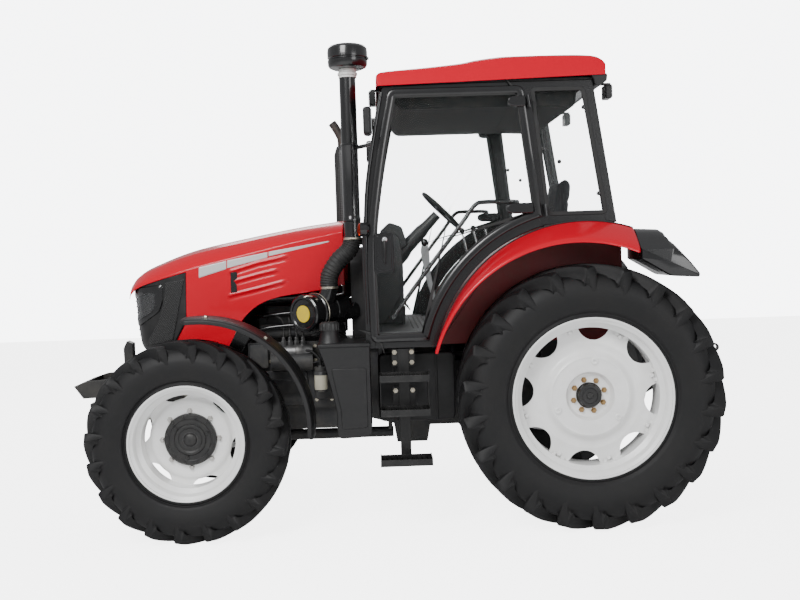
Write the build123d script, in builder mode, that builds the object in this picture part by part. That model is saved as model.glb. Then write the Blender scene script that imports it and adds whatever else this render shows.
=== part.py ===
from build123d import *
from math import acos, asin, atan2, cos, degrees, hypot, radians, sin, sqrt, tan
import os

# Farm tractor with four driven wheels, a closed cab and a three-point hitch.
# +X points forward, +Y to the driver's left, +Z up. Millimetres. The origin is on the
# ground, under the middle of the machine's length and width.

# ---- Driving dimensions -------------------------------------------------------------
wheelbase = 2280
front_reach = 3090        # from the rear axle to the tip of the weight carrier
rear_reach = 935          # from the rear axle to the ends of the raised lower links
wheel_y = 800             # from the middle plane to the middle of each tyre
overall_half_width = 1000
moving_gap = 12           # air between pieces that move past each other
seat_gap = 1              # air between a piece and the one that it is dropped into

rear_x = (rear_reach - front_reach) / 2
front_x = rear_x + wheelbase

rear_tyre_r, rear_tyre_w = 752, 380
front_tyre_r, front_tyre_w = 572, 315
rear_bead_r, front_bead_r = 432, 305      # rims of 34 and 24 inches
rear_rim_w, front_rim_w = 330, 270
rear_z, front_z = rear_tyre_r, front_tyre_r


def ahead(distance):
    """X of a place that lies this far ahead of the rear axle."""
    return rear_x + distance


def side_plane(y):
    """Side view plane: local x is +X, local y is +Z, and it faces the right (-Y)."""
    return Plane(origin=(0, y, 0), x_dir=(1, 0, 0), z_dir=(0, -1, 0))


def across(x):
    """Plane across the machine: local x is +Y, local y is +Z, and it faces forward."""
    return Plane(origin=(x, 0, 0), x_dir=(0, 1, 0), z_dir=(1, 0, 0))


pieces = {}


def keep_pair(name, left):
    """Keeps a left-hand piece and its mirror image on the right."""
    with BuildPart() as right:
        mirror(left.part, about=Plane.XZ)
    pieces[f"{name}_left"] = left
    pieces[f"{name}_right"] = right


# ---- Tyres --------------------------------------------------------------------------
# A bias tractor tyre: dished side walls, and two staggered rows of lugs that slant back
# from the middle of the tread and run out on the shoulders. Each half is a flat-faced
# body through lugged rings, every ring turned further back than the one before it.
def faceted(rings):
    faces = [Face(Wire.make_polygon(rings[0])), Face(Wire.make_polygon(rings[-1]))]
    for near, far in zip(rings, rings[1:]):
        for k in range(len(near)):
            faces.append(Face(Wire.make_polygon((near[k - 1], near[k], far[k]))))
            faces.append(Face(Wire.make_polygon((near[k - 1], far[k], far[k - 1]))))
    return Solid(Shell(faces))


def tyre(axle_x, radius, width, bead_r, rim_w, lugs):
    half, crown_r = width / 2, 0.944 * radius
    wall_r, dish_r = 0.84 * radius, 0.77 * radius
    pitch = 360 / lugs
    bead_y, bore_r = rim_w / 2 - 22, bead_r / cos(radians(pitch / 2))
    hub = Plane(origin=(axle_x, wheel_y, radius), x_dir=(1, 0, 0), z_dir=(0, 1, 0))
    # Ring columns: share of the half width, turn back in pitches, radius between the lugs,
    # radius on the lugs, half width of a lug's top and of its foot in degrees.
    tread = [(0, 0, crown_r, 0.988 * radius, 1.3, 2.6), (0.84, 1.0, 0.925 * radius, radius, 1.9, 3.0),
             (1, 1.15, wall_r, wall_r + 12, 1.6, 2.6)]
    bore = [(-half, dish_r), (-bead_y, bore_r), (bead_y, bore_r), (half, dish_r)]

    def ring(y, corners):
        """Points of a ring at this distance from the middle; a corner is (degrees, radius)."""
        plane = hub.offset(y)
        return [plane.from_local_coords((r * cos(radians(turn)), r * sin(radians(turn)), 0))
                for turn, r in corners]

    with BuildPart() as rubber:
        for row in (-1, 1):
            add(faceted([ring(row * share * half,
                              [(pitch * (k + row / 4 - turn) + angle, r) for k in range(lugs)
                               for angle, r in ((-foot, low), (-top, high), (top, high), (foot, low))])
                         for share, turn, low, high, top, foot in tread]))
        add(faceted([ring(y, [(pitch * k, r) for k in range(lugs)]) for y, r in bore]),
            mode=Mode.SUBTRACT)
    return rubber


# ---- Rims and hubs ------------------------------------------------------------------
# A pressed disc with scalloped edges, welded into a rolled barrel with two flanges.
# Disc outline columns: radius, outward distance from the middle plane of the tyre.
def rim(axle_x, axle_z, bead_r, width, disc, openings, opening_r, turn):
    wall, flange_h, plate = 12, 25, 14
    inner_r = bead_r - wall
    half = width / 2
    hub = Plane(origin=(axle_x, wheel_y, axle_z), x_dir=(1, 0, 0), z_dir=(0, 1, 0))
    section = Plane(origin=hub.origin, x_dir=(1, 0, 0), z_dir=(0, 0, 1))
    axle = Axis(hub.origin, (0, 1, 0))
    barrel = [(bead_r + flange_h, half), (bead_r, half - wall), (bead_r, wall - half),
              (bead_r + flange_h, -half), (inner_r, -half), (inner_r, half)]
    plate_outline = disc + [(r, y - plate) for r, y in reversed(disc)]
    with BuildPart() as wheel:
        with BuildSketch(section):
            with BuildLine():
                Polyline(*plate_outline, close=True)
            make_face()
        revolve(axis=axle)
        with BuildSketch(hub):
            with PolarLocations(inner_r, openings, start_angle=turn):
                Circle(opening_r)
        extrude(amount=half, both=True, mode=Mode.SUBTRACT)
        with BuildSketch(section):
            with BuildLine():
                Polyline(*barrel, close=True)
            make_face()
        revolve(axis=axle)
    return wheel


# A turned hub. Outline columns: radius, outward distance from the tyre's middle plane.
def turned_hub(axle_x, axle_z, outline):
    middle = (axle_x, wheel_y, axle_z)
    with BuildPart() as hub:
        with BuildSketch(Plane(origin=middle, x_dir=(1, 0, 0), z_dir=(0, 0, 1))):
            with BuildLine():
                Polyline(*outline, close=True)
            make_face()
        revolve(axis=Axis(middle, (0, 1, 0)))
    return hub


front_disc = [(front_bead_r - 12, -46), (238, -46), (215, -33), (60, -33)]
rear_disc = [(rear_bead_r - 12, 20), (285, 20), (232, 62), (140, 62), (122, 20), (50, 20)]
spindle_r, spindle_fit, bore_end = 44, 1, 50
front_hole_r, rear_hole_r = 60, 50
front_face, rear_face, plate_t = -33, 20, 14
front_bore_end = front_face + 28
front_hub_outline = [(spindle_r + spindle_fit, front_face - plate_t),
                     (front_hole_r - 0.5, front_face - plate_t), (front_hole_r - 0.5, front_face),
                     (148, front_face), (148, front_face + 23), (124, front_face + 32),
                     (86, front_face + 32), (70, front_face + 38), (0, front_face + 38),
                     (0, front_bore_end), (spindle_r + spindle_fit, front_bore_end)]
rear_hub_outline = [(spindle_r + spindle_fit, rear_face - plate_t),
                    (rear_hole_r - 0.5, rear_face - plate_t), (rear_hole_r - 0.5, rear_face),
                    (74, rear_face), (74, 62), (60, 74), (0, 74),
                    (0, bore_end), (spindle_r + spindle_fit, bore_end)]

keep_pair("front_tyre", tyre(front_x, front_tyre_r, front_tyre_w, front_bead_r, front_rim_w, 20))
keep_pair("rear_tyre", tyre(rear_x, rear_tyre_r, rear_tyre_w, rear_bead_r, rear_rim_w, 22))
keep_pair("front_rim", rim(front_x, front_z, front_bead_r, front_rim_w, front_disc, 6, 84, 12))
keep_pair("rear_rim", rim(rear_x, rear_z, rear_bead_r, rear_rim_w, rear_disc, 8, 96, 5))
keep_pair("front_hub", turned_hub(front_x, front_z, front_hub_outline))
keep_pair("rear_hub", turned_hub(rear_x, rear_z, rear_hub_outline))


# ---- Front axle, knuckles and mudguards ---------------------------------------------
kingpin_y = 620
kingpin_r, boss_r, boss_half = 25, 58, 92
fork_in, fork_plate, fork_r = boss_half + moving_gap, 32, 70
kingpin_fit = 0.5
diff_r, tube_r = 128, 74
pivot_reach, pivot_r = 190, 58
frame_bottom = front_z + diff_r + 20
shaft_guard_r, shaft_z = 34, 440

axle_mid = Plane(origin=(front_x, 0, front_z), x_dir=(1, 0, 0), z_dir=(0, 1, 0))
with BuildPart() as front_axle:
    with BuildSketch(axle_mid):
        Circle(tube_r)
    extrude(amount=kingpin_y - 30, both=True)
    for y, r, length in ((0, diff_r, 110), (0, diff_r - 25, 200)):
        with BuildSketch(axle_mid.offset(y)):
            Circle(r)
        extrude(amount=length, both=True)
    with BuildSketch(across(front_x)):
        with Locations((0, front_z)):
            Circle(pivot_r)
    extrude(amount=pivot_reach, both=True)
    for side in (-1, 1):
        with BuildSketch(Plane.XY.offset(front_z - boss_half)):
            with Locations((front_x, side * kingpin_y)):
                Circle(boss_r)
        extrude(amount=2 * boss_half)
    for side in (-1, 1):
        with BuildSketch(Plane.XY.offset(front_z - boss_half)):
            with Locations((front_x, side * kingpin_y)):
                Circle(kingpin_r + kingpin_fit)
        extrude(amount=2 * boss_half, mode=Mode.SUBTRACT)
    # Drive shaft guard from the gearbox to the differential.
    with BuildSketch(across(ahead(1112))):
        with Locations((0, shaft_z)):
            Circle(shaft_guard_r)
    extrude(amount=wheelbase - 40 - 1112)
pieces["front_axle"] = front_axle

drum_r, wall_y, pin_grip = 142, 72, 60
arm_reach = 150
hub_reach = wheel_y + front_face - plate_t - 8 - kingpin_y   # from the kingpin to the wheel's disc
with BuildPart() as knuckle:
    for z in (front_z + fork_in, front_z - fork_in - fork_plate):
        with BuildSketch(Plane.XY.offset(z)):
            with Locations((front_x, kingpin_y)):
                Circle(fork_r)
            with Locations((front_x, kingpin_y + hub_reach / 2)):
                Rectangle(2 * fork_r, hub_reach)
        extrude(amount=fork_plate)
    with BuildSketch(axle_mid.offset(kingpin_y + wall_y)):
        Circle(drum_r)
    extrude(amount=hub_reach - wall_y)
    with BuildSketch(axle_mid.offset(kingpin_y + wall_y)):
        Circle(spindle_r)
    extrude(amount=wheel_y + front_bore_end - 2 - kingpin_y - wall_y)
    with BuildSketch(Plane.XY.offset(front_z - fork_in - fork_plate)):
        with Locations((front_x - arm_reach / 2, kingpin_y + 20)):
            Rectangle(arm_reach, 46)
    extrude(amount=fork_plate)
    for z in (front_z + boss_half - pin_grip, front_z - fork_in - fork_plate):
        with BuildSketch(Plane.XY.offset(z)):
            with Locations((front_x, kingpin_y)):
                Circle(kingpin_r)
        extrude(amount=pin_grip + moving_gap + fork_plate)
keep_pair("knuckle", knuckle)

guard_r, guard_sheet, guard_start, guard_end = 690, 10, 87, 176
guard_in, guard_out, guard_lip = 662, 962, 36
strap_y, strap_t = 612, 16
front_axis = Axis((front_x, 0, front_z), (0, -1, 0))


def radial_plane(angle):
    """Plane through the front axle: local x is the radius at this angle, local y is +Y."""
    out = (cos(radians(angle)), 0, sin(radians(angle)))
    return Plane(origin=(front_x, 0, front_z), x_dir=out, z_dir=(-out[2], 0, out[0]))


lip_r, top_r = guard_r - guard_lip, guard_r + guard_sheet
with BuildPart() as front_guard:
    with BuildSketch(radial_plane(guard_start)):
        Polygon((lip_r, guard_in), (guard_r, guard_in), (top_r, guard_in + 30),
                (top_r, guard_out - 30), (guard_r, guard_out), (lip_r, guard_out),
                (lip_r, guard_out - guard_sheet), (guard_r - 4, guard_out - guard_sheet),
                (guard_r, guard_out - 34), (guard_r, guard_in + 34),
                (guard_r - 4, guard_in + guard_sheet), (lip_r, guard_in + guard_sheet), align=None)
    revolve(axis=front_axis, revolution_arc=guard_end - guard_start)
    # Bracket: a strap up from the knuckle inside the tyre, and arms under the sheet.
    strap_foot = front_z + fork_in + fork_plate
    with BuildSketch(side_plane(strap_y + strap_t / 2)):
        Polygon((front_x - 50, strap_foot), (front_x + 30, strap_foot),
                (front_x - 70, front_z + guard_r - 30), (front_x - 190, front_z + guard_r - 60),
                align=None)
    extrude(amount=strap_t)
    with BuildSketch(radial_plane(94)):
        Polygon((guard_r - 70, strap_y - strap_t / 2), (guard_r - 28, strap_y - strap_t / 2),
                (guard_r - 28, strap_y + strap_t / 2), (guard_r - 70, strap_y + strap_t / 2),
                align=None)
    revolve(axis=front_axis, revolution_arc=40)
    for angle in (95, 127):
        with BuildSketch(radial_plane(angle)):
            Polygon((guard_r - 40, strap_y - strap_t / 2), (guard_r - 40, guard_out - 60),
                    (guard_r + 2, guard_out - 60), (guard_r + 2, guard_in + 20),
                    (guard_r - 28, guard_in - 6), (guard_r - 28, strap_y - strap_t / 2), align=None)
        revolve(axis=front_axis, revolution_arc=3)
keep_pair("front_guard", front_guard)


# ---- Hitch places, used by the rear axle housing and the hitch ----------------------
# Each place is a distance ahead of the rear axle, and a height.
link_y, link_pivot = 262, (-210, 560)
link_end = (26 - rear_reach, 944)
link_rise = degrees(atan2(link_end[1] - link_pivot[1], link_pivot[0] - link_end[0]))
ball_r, ball_bore, link_w, link_pin_r = 26, 14.5, 26, 14
arm_pivot, arm_len, arm_rise, shaft_r = (-215, 1010), 300, 40, 34
arm_tip = (arm_pivot[0] - arm_len * cos(radians(arm_rise)),
           arm_pivot[1] + arm_len * sin(radians(arm_rise)))
rod_on_link = 400         # from the lower link's front pin to the lift rod's eye
rod_foot = (link_pivot[0] - rod_on_link * cos(radians(link_rise)),
            link_pivot[1] + rod_on_link * sin(radians(link_rise)))
rod_pin_r, rod_gap = 12, 6
top_pin, top_hook, top_pin_r = (-292, 882), (-302, 1330), 12.5


# ---- Driveline, engine and front frame ----------------------------------------------
# Side outlines are in millimetres ahead of the rear axle and above the ground.
def side_points(points):
    """Turns distances ahead of the rear axle, and heights, into points of a side plane."""
    return [(ahead(x), z) for x, z in points]


block_front, block_rear, block_half = 2010, 1330, 185
fan_z = 990
sump_bottom, block_bottom, block_top, head_top = 500, 640, 1060, 1210
house_half, house_bottom, house_top = 165, 500, 930
axle_half, trumpet_r, flange_r = 170, 105, 150
floor_bottom = 1090
pto_r, pto_len, pto_z = 17.5, 80, 610

with BuildPart() as transmission:
    with BuildSketch(side_plane(house_half)):
        Polygon(*side_points([(axle_half + seat_gap, house_bottom - 40), (520, house_bottom),
                              (880, house_bottom), (900, 395), (1090, 395), (1110, house_bottom + 20),
                              (block_rear, block_bottom - 60), (block_rear, 1000), (1080, 1000),
                              (900, house_top), (330, house_top), (300, 1040),
                              (axle_half + seat_gap, 1040)]), align=None)
    extrude(amount=2 * house_half)
    chamfer(transmission.edges().filter_by(Axis.X), 25)
    # Ribs round the joints between the castings.
    for x in (560, 1120, block_rear - 24):
        with BuildSketch(across(ahead(x))):
            with Locations((0, (house_bottom + house_top) / 2)):
                RectangleRounded(2 * house_half + 50, house_top - house_bottom + 40, 40)
        extrude(amount=24)
pieces["transmission_housing"] = transmission

rear_mid = Plane(origin=(rear_x, 0, rear_z), x_dir=(1, 0, 0), z_dir=(0, 1, 0))
with BuildPart() as rear_axle:
    with BuildSketch(side_plane(house_half + 40)):
        Polygon(*side_points([(-axle_half, 440), (axle_half, 440), (axle_half, floor_bottom - seat_gap),
                              (-axle_half, floor_bottom - seat_gap)]), align=None)
    extrude(amount=2 * (house_half + 40))
    chamfer(rear_axle.edges().filter_by(Axis.Y), 30)
    # Trumpet housings, shaft ends and the spindles in the wheel hubs.
    for r, end in ((flange_r, house_half + 70), (trumpet_r, wheel_y - 90),
                   (90, wheel_y + rear_face - plate_t - 8), (spindle_r, wheel_y + bore_end - 2)):
        with BuildSketch(rear_mid):
            Circle(r)
        extrude(amount=end, both=True)
    # Lower link pins, top link lugs and drawbar hanger.
    for side in (-1, 1):
        with BuildSketch(side_plane(side * (house_half + 54) + 25)):
            Polygon(*side_points([(-130, 480), (-240, 530), (-240, 590), (-130, 640)]), align=None)
        extrude(amount=50)
    for y, r, length in ((link_y + 28, link_pin_r, 90), (62 - link_y, link_pin_r, 90),
                         (link_y + 28, link_pin_r + 10, 8), (-link_y - 20, link_pin_r + 10, 8)):
        with BuildSketch(side_plane(y)):
            with Locations((ahead(link_pivot[0]), link_pivot[1])):
                Circle(r)
        extrude(amount=length)
    # Rockshaft bearings on top of the housing's rear wall.
    for y in (house_half + 36, -house_half - 6):
        with BuildSketch(side_plane(y)):
            Polygon(*side_points([(-150, 880), (-215, 950), (-268, 985), (-268, 1035), (-215, 1070),
                                  (-150, 1080)]), align=None)
            with Locations((ahead(arm_pivot[0]), arm_pivot[1])):
                Circle(shaft_r + moving_gap / 4, mode=Mode.SUBTRACT)
        extrude(amount=30)
    for y in (48, -28):
        with BuildSketch(side_plane(y)):
            Polygon(*side_points([(-160, 820), (-315, 860), (-315, 905), (-160, 940)]), align=None)
        extrude(amount=20)
    with BuildSketch(side_plane(48)):
        with Locations((ahead(top_pin[0]), top_pin[1])):
            Circle(top_pin_r)
    extrude(amount=96)
    # Power take-off stub in its boss.
    for r, length in ((62, 24), (pto_r, 24 + pto_len)):
        with BuildSketch(across(ahead(-axle_half))):
            with Locations((0, pto_z)):
                Circle(r)
        extrude(amount=-length)
    with BuildSketch(side_plane(70)):
        Polygon(*side_points([(-160, 380), (-60, 380), (-60, 450), (-160, 450)]), align=None)
    extrude(amount=140)
    with BuildSketch(side_plane(46)):
        Polygon(*side_points([(-170, 399), (-50, 399), (-50, 433), (-170, 433)]), align=None)
    extrude(amount=92, mode=Mode.SUBTRACT)
pieces["rear_axle_housing"] = rear_axle

with BuildPart() as engine:
    with BuildSketch(side_plane(block_half)):
        Polygon(*side_points([(block_rear + seat_gap, block_bottom), (block_front, block_bottom),
                   (block_front, block_top), (block_rear + seat_gap, block_top)]), align=None)
    extrude(amount=2 * block_half)
    with BuildSketch(side_plane(block_half - 45)):
        Polygon(*side_points([(block_rear + 60, block_bottom), (block_rear + 90, sump_bottom),
                   (block_front - 120, sump_bottom), (block_front - 60, block_bottom)]), align=None)
    extrude(amount=2 * (block_half - 45))
    with BuildSketch(side_plane(120)):
        Polygon(*side_points([(block_rear + 70, block_top), (block_front - 70, block_top),
                   (block_front - 70, head_top), (block_rear + 70, head_top)]), align=None)
    extrude(amount=240)
    # Valve cover, inlet manifold on the left, exhaust manifold on the right.
    with BuildSketch(Plane.XY.offset(head_top)):
        with Locations((ahead((block_rear + block_front) / 2), 0)):
            RectangleRounded(block_front - block_rear - 180, 170, 40)
    extrude(amount=70, taper=8)
    for x in (1460, 1600, 1740, 1880):
        with BuildSketch(side_plane(210)):
            with Locations((ahead(x), block_top + 70)):
                Circle(30)
        extrude(amount=420)
    for y, start in ((190, 1450), (-190, 1390)):
        with BuildSketch(across(ahead(start))):
            with Locations((y, block_top + 70)):
                Circle(42)
        extrude(amount=1920 - start)
    # Injection pump, starter, oil filter and fuel filters.
    with BuildSketch(across(ahead(1600))):
        with Locations((block_half + 50, 940)):
            Circle(58)
    extrude(amount=260)
    with BuildSketch(across(ahead(1340))):
        with Locations((-block_half - 40, 790)):
            Circle(52)
    extrude(amount=150)
    for x, y, z, r, height in ((1553, 300, 760, 38, 150), (1548, -235, 700, 44, 130)):
        with BuildSketch(Plane.XY.offset(z)):
            with Locations((ahead(x), y)):
                Circle(r)
        extrude(amount=height)
        with BuildSketch(Plane.XY.offset(z + height - 40)):
            with Locations((ahead(x), y / 2)):
                Rectangle(50, abs(y))
        extrude(amount=40)
    # Crank pulley and fan.
    with BuildSketch(across(ahead(block_front))):
        with Locations((0, 760)):
            Circle(95)
        with Locations((0, fan_z)):
            Circle(60)
    extrude(amount=45)
    with BuildSketch(across(ahead(block_front + 45))):
        with Locations((0, fan_z)):
            Circle(70)
            with PolarLocations(0, 7):
                with Locations((115, 0)):
                    Rectangle(150, 70)
    extrude(amount=18)
pieces["engine"] = engine

frame_half = block_half + 28 + moving_gap
with BuildPart() as front_frame:
    with BuildSketch(side_plane(frame_half)):
        Polygon(*side_points([(block_front + seat_gap - 340, frame_bottom + 20), (2040, frame_bottom),
                   (2720, frame_bottom), (2720, 870), (block_front + 130, 870),
                   (block_front + seat_gap - 340, 800)]), align=None)
    extrude(amount=2 * frame_half)
    with BuildSketch(side_plane(frame_half - 28)):
        Polygon(*side_points([(block_front - 345, 500), (2690, 500), (2690, 840),
                              (block_front + 130, 840), (block_front + 130, 900),
                              (block_front - 345, 900)]), align=None)
    extrude(amount=2 * (frame_half - 28), mode=Mode.SUBTRACT)
    # Pads that bolt against the sides of the engine block.
    for x in (1700, 1880):
        for side in (-1, 1):
            with BuildSketch(across(ahead(x))):
                with Locations((side * (frame_half - 28 + block_half + seat_gap) / 2, 770)):
                    Rectangle(frame_half - 28 - block_half - seat_gap, 60)
            extrude(amount=70)
    with BuildSketch(side_plane(frame_half)):
        Polygon(*side_points([(block_front + 130, 840), (2720, 840), (2720, 870), (block_front + 130, 870)]), align=None)
    extrude(amount=2 * frame_half)
    # Pedestals that hold the pivots of the front axle.
    for x in (wheelbase - pivot_reach, wheelbase + pivot_reach - 50):
        with BuildSketch(side_plane(frame_half - 28)):
            Polygon(*side_points([(x, front_z - 80), (x + 50, front_z - 80), (x + 50, 860), (x, 860)]), align=None)
        extrude(amount=2 * (frame_half - 28))
    with BuildSketch(across(front_x)):
        with Locations((0, front_z)):
            Circle(pivot_r + 2)
    extrude(amount=pivot_reach + 5, both=True, mode=Mode.SUBTRACT)
pieces["front_frame"] = front_frame

carrier_half, carrier_plate = 235, 20
with BuildPart() as carrier:
    with BuildSketch(side_plane(carrier_half)):
        Polygon(*side_points([(2720 + seat_gap, 760), (3035, 752), (front_reach, 830), (3000, 858),
                   (2720 + seat_gap, 880)]), align=None)
    extrude(amount=2 * carrier_half)
    with BuildSketch(side_plane(carrier_half - carrier_plate)):
        Polygon(*side_points([(2745, 740), (3020, 740), (3052, 810), (3000, 900), (2745, 900)]), align=None)
    extrude(amount=2 * (carrier_half - carrier_plate), mode=Mode.SUBTRACT)
    with BuildSketch(side_plane(60)):
        Polygon(*side_points([(2745, 752), (3030, 752), (3040, 772), (2745, 772)]), align=None)
    extrude(amount=120)
    # Towing jaw below: two plates and an upright.
    for z in (600, 672):
        with BuildSketch(Plane.XY.offset(z)):
            with Locations((ahead(2880), 0)):
                RectangleRounded(340, 130, 30)
            with Locations((ahead(3010), 0)):
                Circle(16, mode=Mode.SUBTRACT)
        extrude(amount=18)
    with BuildSketch(side_plane(65)):
        Polygon(*side_points([(2715 + seat_gap + 5, 600), (2860, 600), (2860, 770), (2715 + seat_gap + 5, 770)]), align=None)
    extrude(amount=130)
    # Upright in front of the grille.
    with BuildSketch(side_plane(40)):
        Polygon(*side_points([(2765, 760), (2815, 760), (2822, 1040), (2800, 1085), (2765, 1070)]),
                align=None)
    extrude(amount=80)
pieces["weight_carrier"] = carrier

with BuildPart() as radiator:
    with BuildSketch(side_plane(270)):
        Polygon(*side_points([(2190, 872), (2310, 872), (2310, 1400), (2190, 1400)]), align=None)
    extrude(amount=540)
    with BuildSketch(side_plane(240)):
        Polygon(*side_points([(2180, 930), (2200, 930), (2200, 1330), (2180, 1330)]), align=None)
    extrude(amount=480, mode=Mode.SUBTRACT)
    with BuildSketch(side_plane(110)):
        Polygon(*side_points([(2350, 872), (2560, 872), (2560, 1090), (2350, 1090)]), align=None)
    extrude(amount=220)
pieces["radiator"] = radiator


# ---- Hood ---------------------------------------------------------------------------
# Cross-sections, from the windscreen to the nose: distance ahead of the rear axle, half
# width, height of the side crease, half width and height of the shoulder, height of the top.
hood_sections = [
    (1385, 360, 1742, 285, 1790, 1812),
    (1960, 362, 1624, 290, 1700, 1727),
    (2320, 358, 1543, 285, 1625, 1655),
    (2560, 335, 1480, 262, 1545, 1572),
    (2668, 300, 1440, 232, 1494, 1516),
    (2712, 262, 1405, 205, 1440, 1456),
]
hood_bottom, hood_wall = 1020, 12


def hood_body(inset, first, last):
    """The closed form of the hood, drawn in by an inset all round."""
    with BuildPart() as body:
        for k, (x, half, crease_z, shoulder_y, shoulder_z, top_z) in enumerate(hood_sections):
            shift = first if k == 0 else last if k == len(hood_sections) - 1 else 0
            with BuildSketch(across(ahead(x + shift))):
                with BuildLine():
                    low = [(inset - half, hood_bottom - inset), (half - inset, hood_bottom - inset)]
                    left = [(half - inset, crease_z), (shoulder_y - inset, shoulder_z - inset)]
                    Polyline((inset - shoulder_y, shoulder_z - inset), (inset - half, crease_z),
                             *low, *left)
                    ThreePointArc((shoulder_y - inset, shoulder_z - inset), (0, top_z - inset),
                                  (inset - shoulder_y, shoulder_z - inset))
                make_face()
        loft(ruled=True)
    return body.part


hood_outer = hood_body(0, 0, 0)
hood_inner = hood_body(hood_wall, -30, -hood_wall)
split_x = 2345           # where the red side panel meets the black nose
nose_cut = [(split_x + 115, 900), (split_x + 115, 1030), (split_x + 15, 1205), (split_x, 1533),
            (2525, 1488), (2668, 1437), (2800, 1390), (2800, 900)]
wheel_arch = [(1300, 900), (1300, 1378), (1433, 1363), (1598, 1350), (1783, 1283),
              (1900, 1250), (1969, 1186), (2026, 1126), (2060, 1054), (2064, 900)]

# Hood hinge line across the tractor: distance ahead of the rear axle, and height.
hood_hinge, hood_pin_r, hood_arm_y = (1385, 1740), 10, 196
with BuildPart() as hood:
    add(hood_outer)
    add(hood_inner, mode=Mode.SUBTRACT)
    for cut in (nose_cut, wheel_arch):
        with BuildSketch(side_plane(500)):
            Polygon(*side_points(cut), align=None)
        extrude(amount=1000, mode=Mode.SUBTRACT)
    # Slot in each side, near the nose.
    with BuildSketch(side_plane(500)):
        Polygon(*side_points([(2040, 1390), (2076, 1385), (2075, 1510), (2035, 1511)]), align=None)
    extrude(amount=1000, mode=Mode.SUBTRACT)
    # Hinge eyes under the skin, on the pins of the cab's two arms.
    for side in (-1, 1):
        with BuildSketch(side_plane(side * (hood_arm_y + 27) + 17)):
            with Locations((ahead(hood_hinge[0]), hood_hinge[1])):
                Circle(20)
            Polygon(*side_points([(1386, 1745), (1387, 1793), (1440, 1785), (1402, 1736)]), align=None)
        extrude(amount=34)
        with BuildSketch(side_plane(side * (hood_arm_y + 27) + 17)):
            with Locations((ahead(hood_hinge[0]), hood_hinge[1])):
                Circle(hood_pin_r + 0.5)
        extrude(amount=34, mode=Mode.SUBTRACT)
pieces["hood"] = hood

lamp_inner_y, lamp_depth_x, grille_half = 215, 2640, 120
lamp_outline = [(2546, 1322), (2568, 1281), (2673, 1222), (2800, 1160), (2800, 1352), (2694, 1372),
                (2548, 1405)]
with BuildPart() as grille:
    add(hood_outer)
    add(hood_inner, mode=Mode.SUBTRACT)
    with BuildSketch(side_plane(500)):
        Polygon(*side_points(nose_cut), align=None)
    extrude(amount=1000, mode=Mode.INTERSECT)
    with BuildSketch(side_plane(500)):
        Polygon(*side_points(lamp_outline), align=None)
    extrude(amount=500 - grille_half, mode=Mode.SUBTRACT)
    with BuildSketch(side_plane(-grille_half)):
        Polygon(*side_points(lamp_outline), align=None)
    extrude(amount=500 - grille_half, mode=Mode.SUBTRACT)
    # Air slots across the nose and down its sides.
    for z in range(1070, 1190, 30):
        with BuildSketch(side_plane(500)):
            Polygon(*side_points([(2400, z), (2600, z), (2600, z + 14), (2400, z + 14)]), align=None)
        extrude(amount=1000, mode=Mode.SUBTRACT)
pieces["grille"] = grille

with BuildPart() as headlamps:
    add(hood_outer)
    with BuildSketch(side_plane(500)):
        Polygon(*side_points(lamp_outline), align=None)
    extrude(amount=1000, mode=Mode.INTERSECT)
    with BuildSketch(across(ahead(2400))):
        Rectangle(2 * lamp_inner_y, 4000)
    extrude(amount=lamp_depth_x - 2400, mode=Mode.SUBTRACT)
    with BuildSketch(across(ahead(2400))):
        Rectangle(2 * grille_half, 4000)
    extrude(amount=600, mode=Mode.SUBTRACT)
pieces["headlamps"] = headlamps


# ---- Air intake and exhaust ---------------------------------------------------------
stack_y, intake_x, exhaust_x = 470, 1326, 1434
cleaner_r, cleaner_z, cleaner_len = 118, 1252, 430
cleaner_mid = Vector(ahead(1640), 560, cleaner_z)
cleaner_out = Vector(0.60, 0.80, 0)
with BuildPart() as air_cleaner:
    drum = Plane(origin=cleaner_mid, x_dir=(0, 0, 1), z_dir=cleaner_out)
    for start, r, length in ((-28, cleaner_r, 28), (-300, cleaner_r - 20, 272),
                             (-cleaner_len, cleaner_r - 30, cleaner_len - 300)):
        with BuildSketch(drum.offset(start)):
            Circle(r)
        extrude(amount=length)
    with BuildSketch(Plane.XY.offset(cleaner_z + 70)):
        with Locations((ahead(1440), 460)):
            Circle(50)
    extrude(amount=70)
    with BuildSketch(Plane.XY.offset(1090)):
        with Locations((ahead(1480), 268)):
            Rectangle(60, 70)
    extrude(amount=110)
pieces["air_cleaner"] = air_cleaner

pipe_r, pipe_wall, bowl_r = 50, 3, 122
pipe_bottom, pipe_top, bowl_bottom, bowl_top = 1800, 2662, 2676, 2838
with BuildPart() as intake_pipe:
    with BuildSketch(Plane.XY.offset(pipe_bottom)):
        with Locations((ahead(intake_x), stack_y)):
            Circle(pipe_r)
    extrude(amount=pipe_top - pipe_bottom)
    with BuildSketch(Plane.XZ.offset(-stack_y)):
        with BuildLine():
            Polyline((ahead(intake_x), pipe_top), (ahead(intake_x) + 62, pipe_top),
                     (ahead(intake_x) + 70, bowl_bottom), (ahead(intake_x) + bowl_r, bowl_bottom + 24),
                     (ahead(intake_x) + bowl_r, bowl_top - 62), (ahead(intake_x) + 96, bowl_top - 50),
                     (ahead(intake_x) + 92, bowl_top - 14), (ahead(intake_x) + 70, bowl_top),
                     (ahead(intake_x), bowl_top), close=True)
        make_face()
    revolve(axis=Axis((ahead(intake_x), stack_y, 0), (0, 0, 1)))
    # Clamp bracket back to the front pillar of the cab.
    with BuildSketch(Plane.XY.offset(2190)):
        with Locations((ahead(intake_x), stack_y)):
            Circle(pipe_r + 10)
        with Locations((ahead(intake_x - 52), stack_y + 125)):
            Rectangle(104, 250)
    extrude(amount=26)
pieces["intake_pipe"] = intake_pipe

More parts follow.
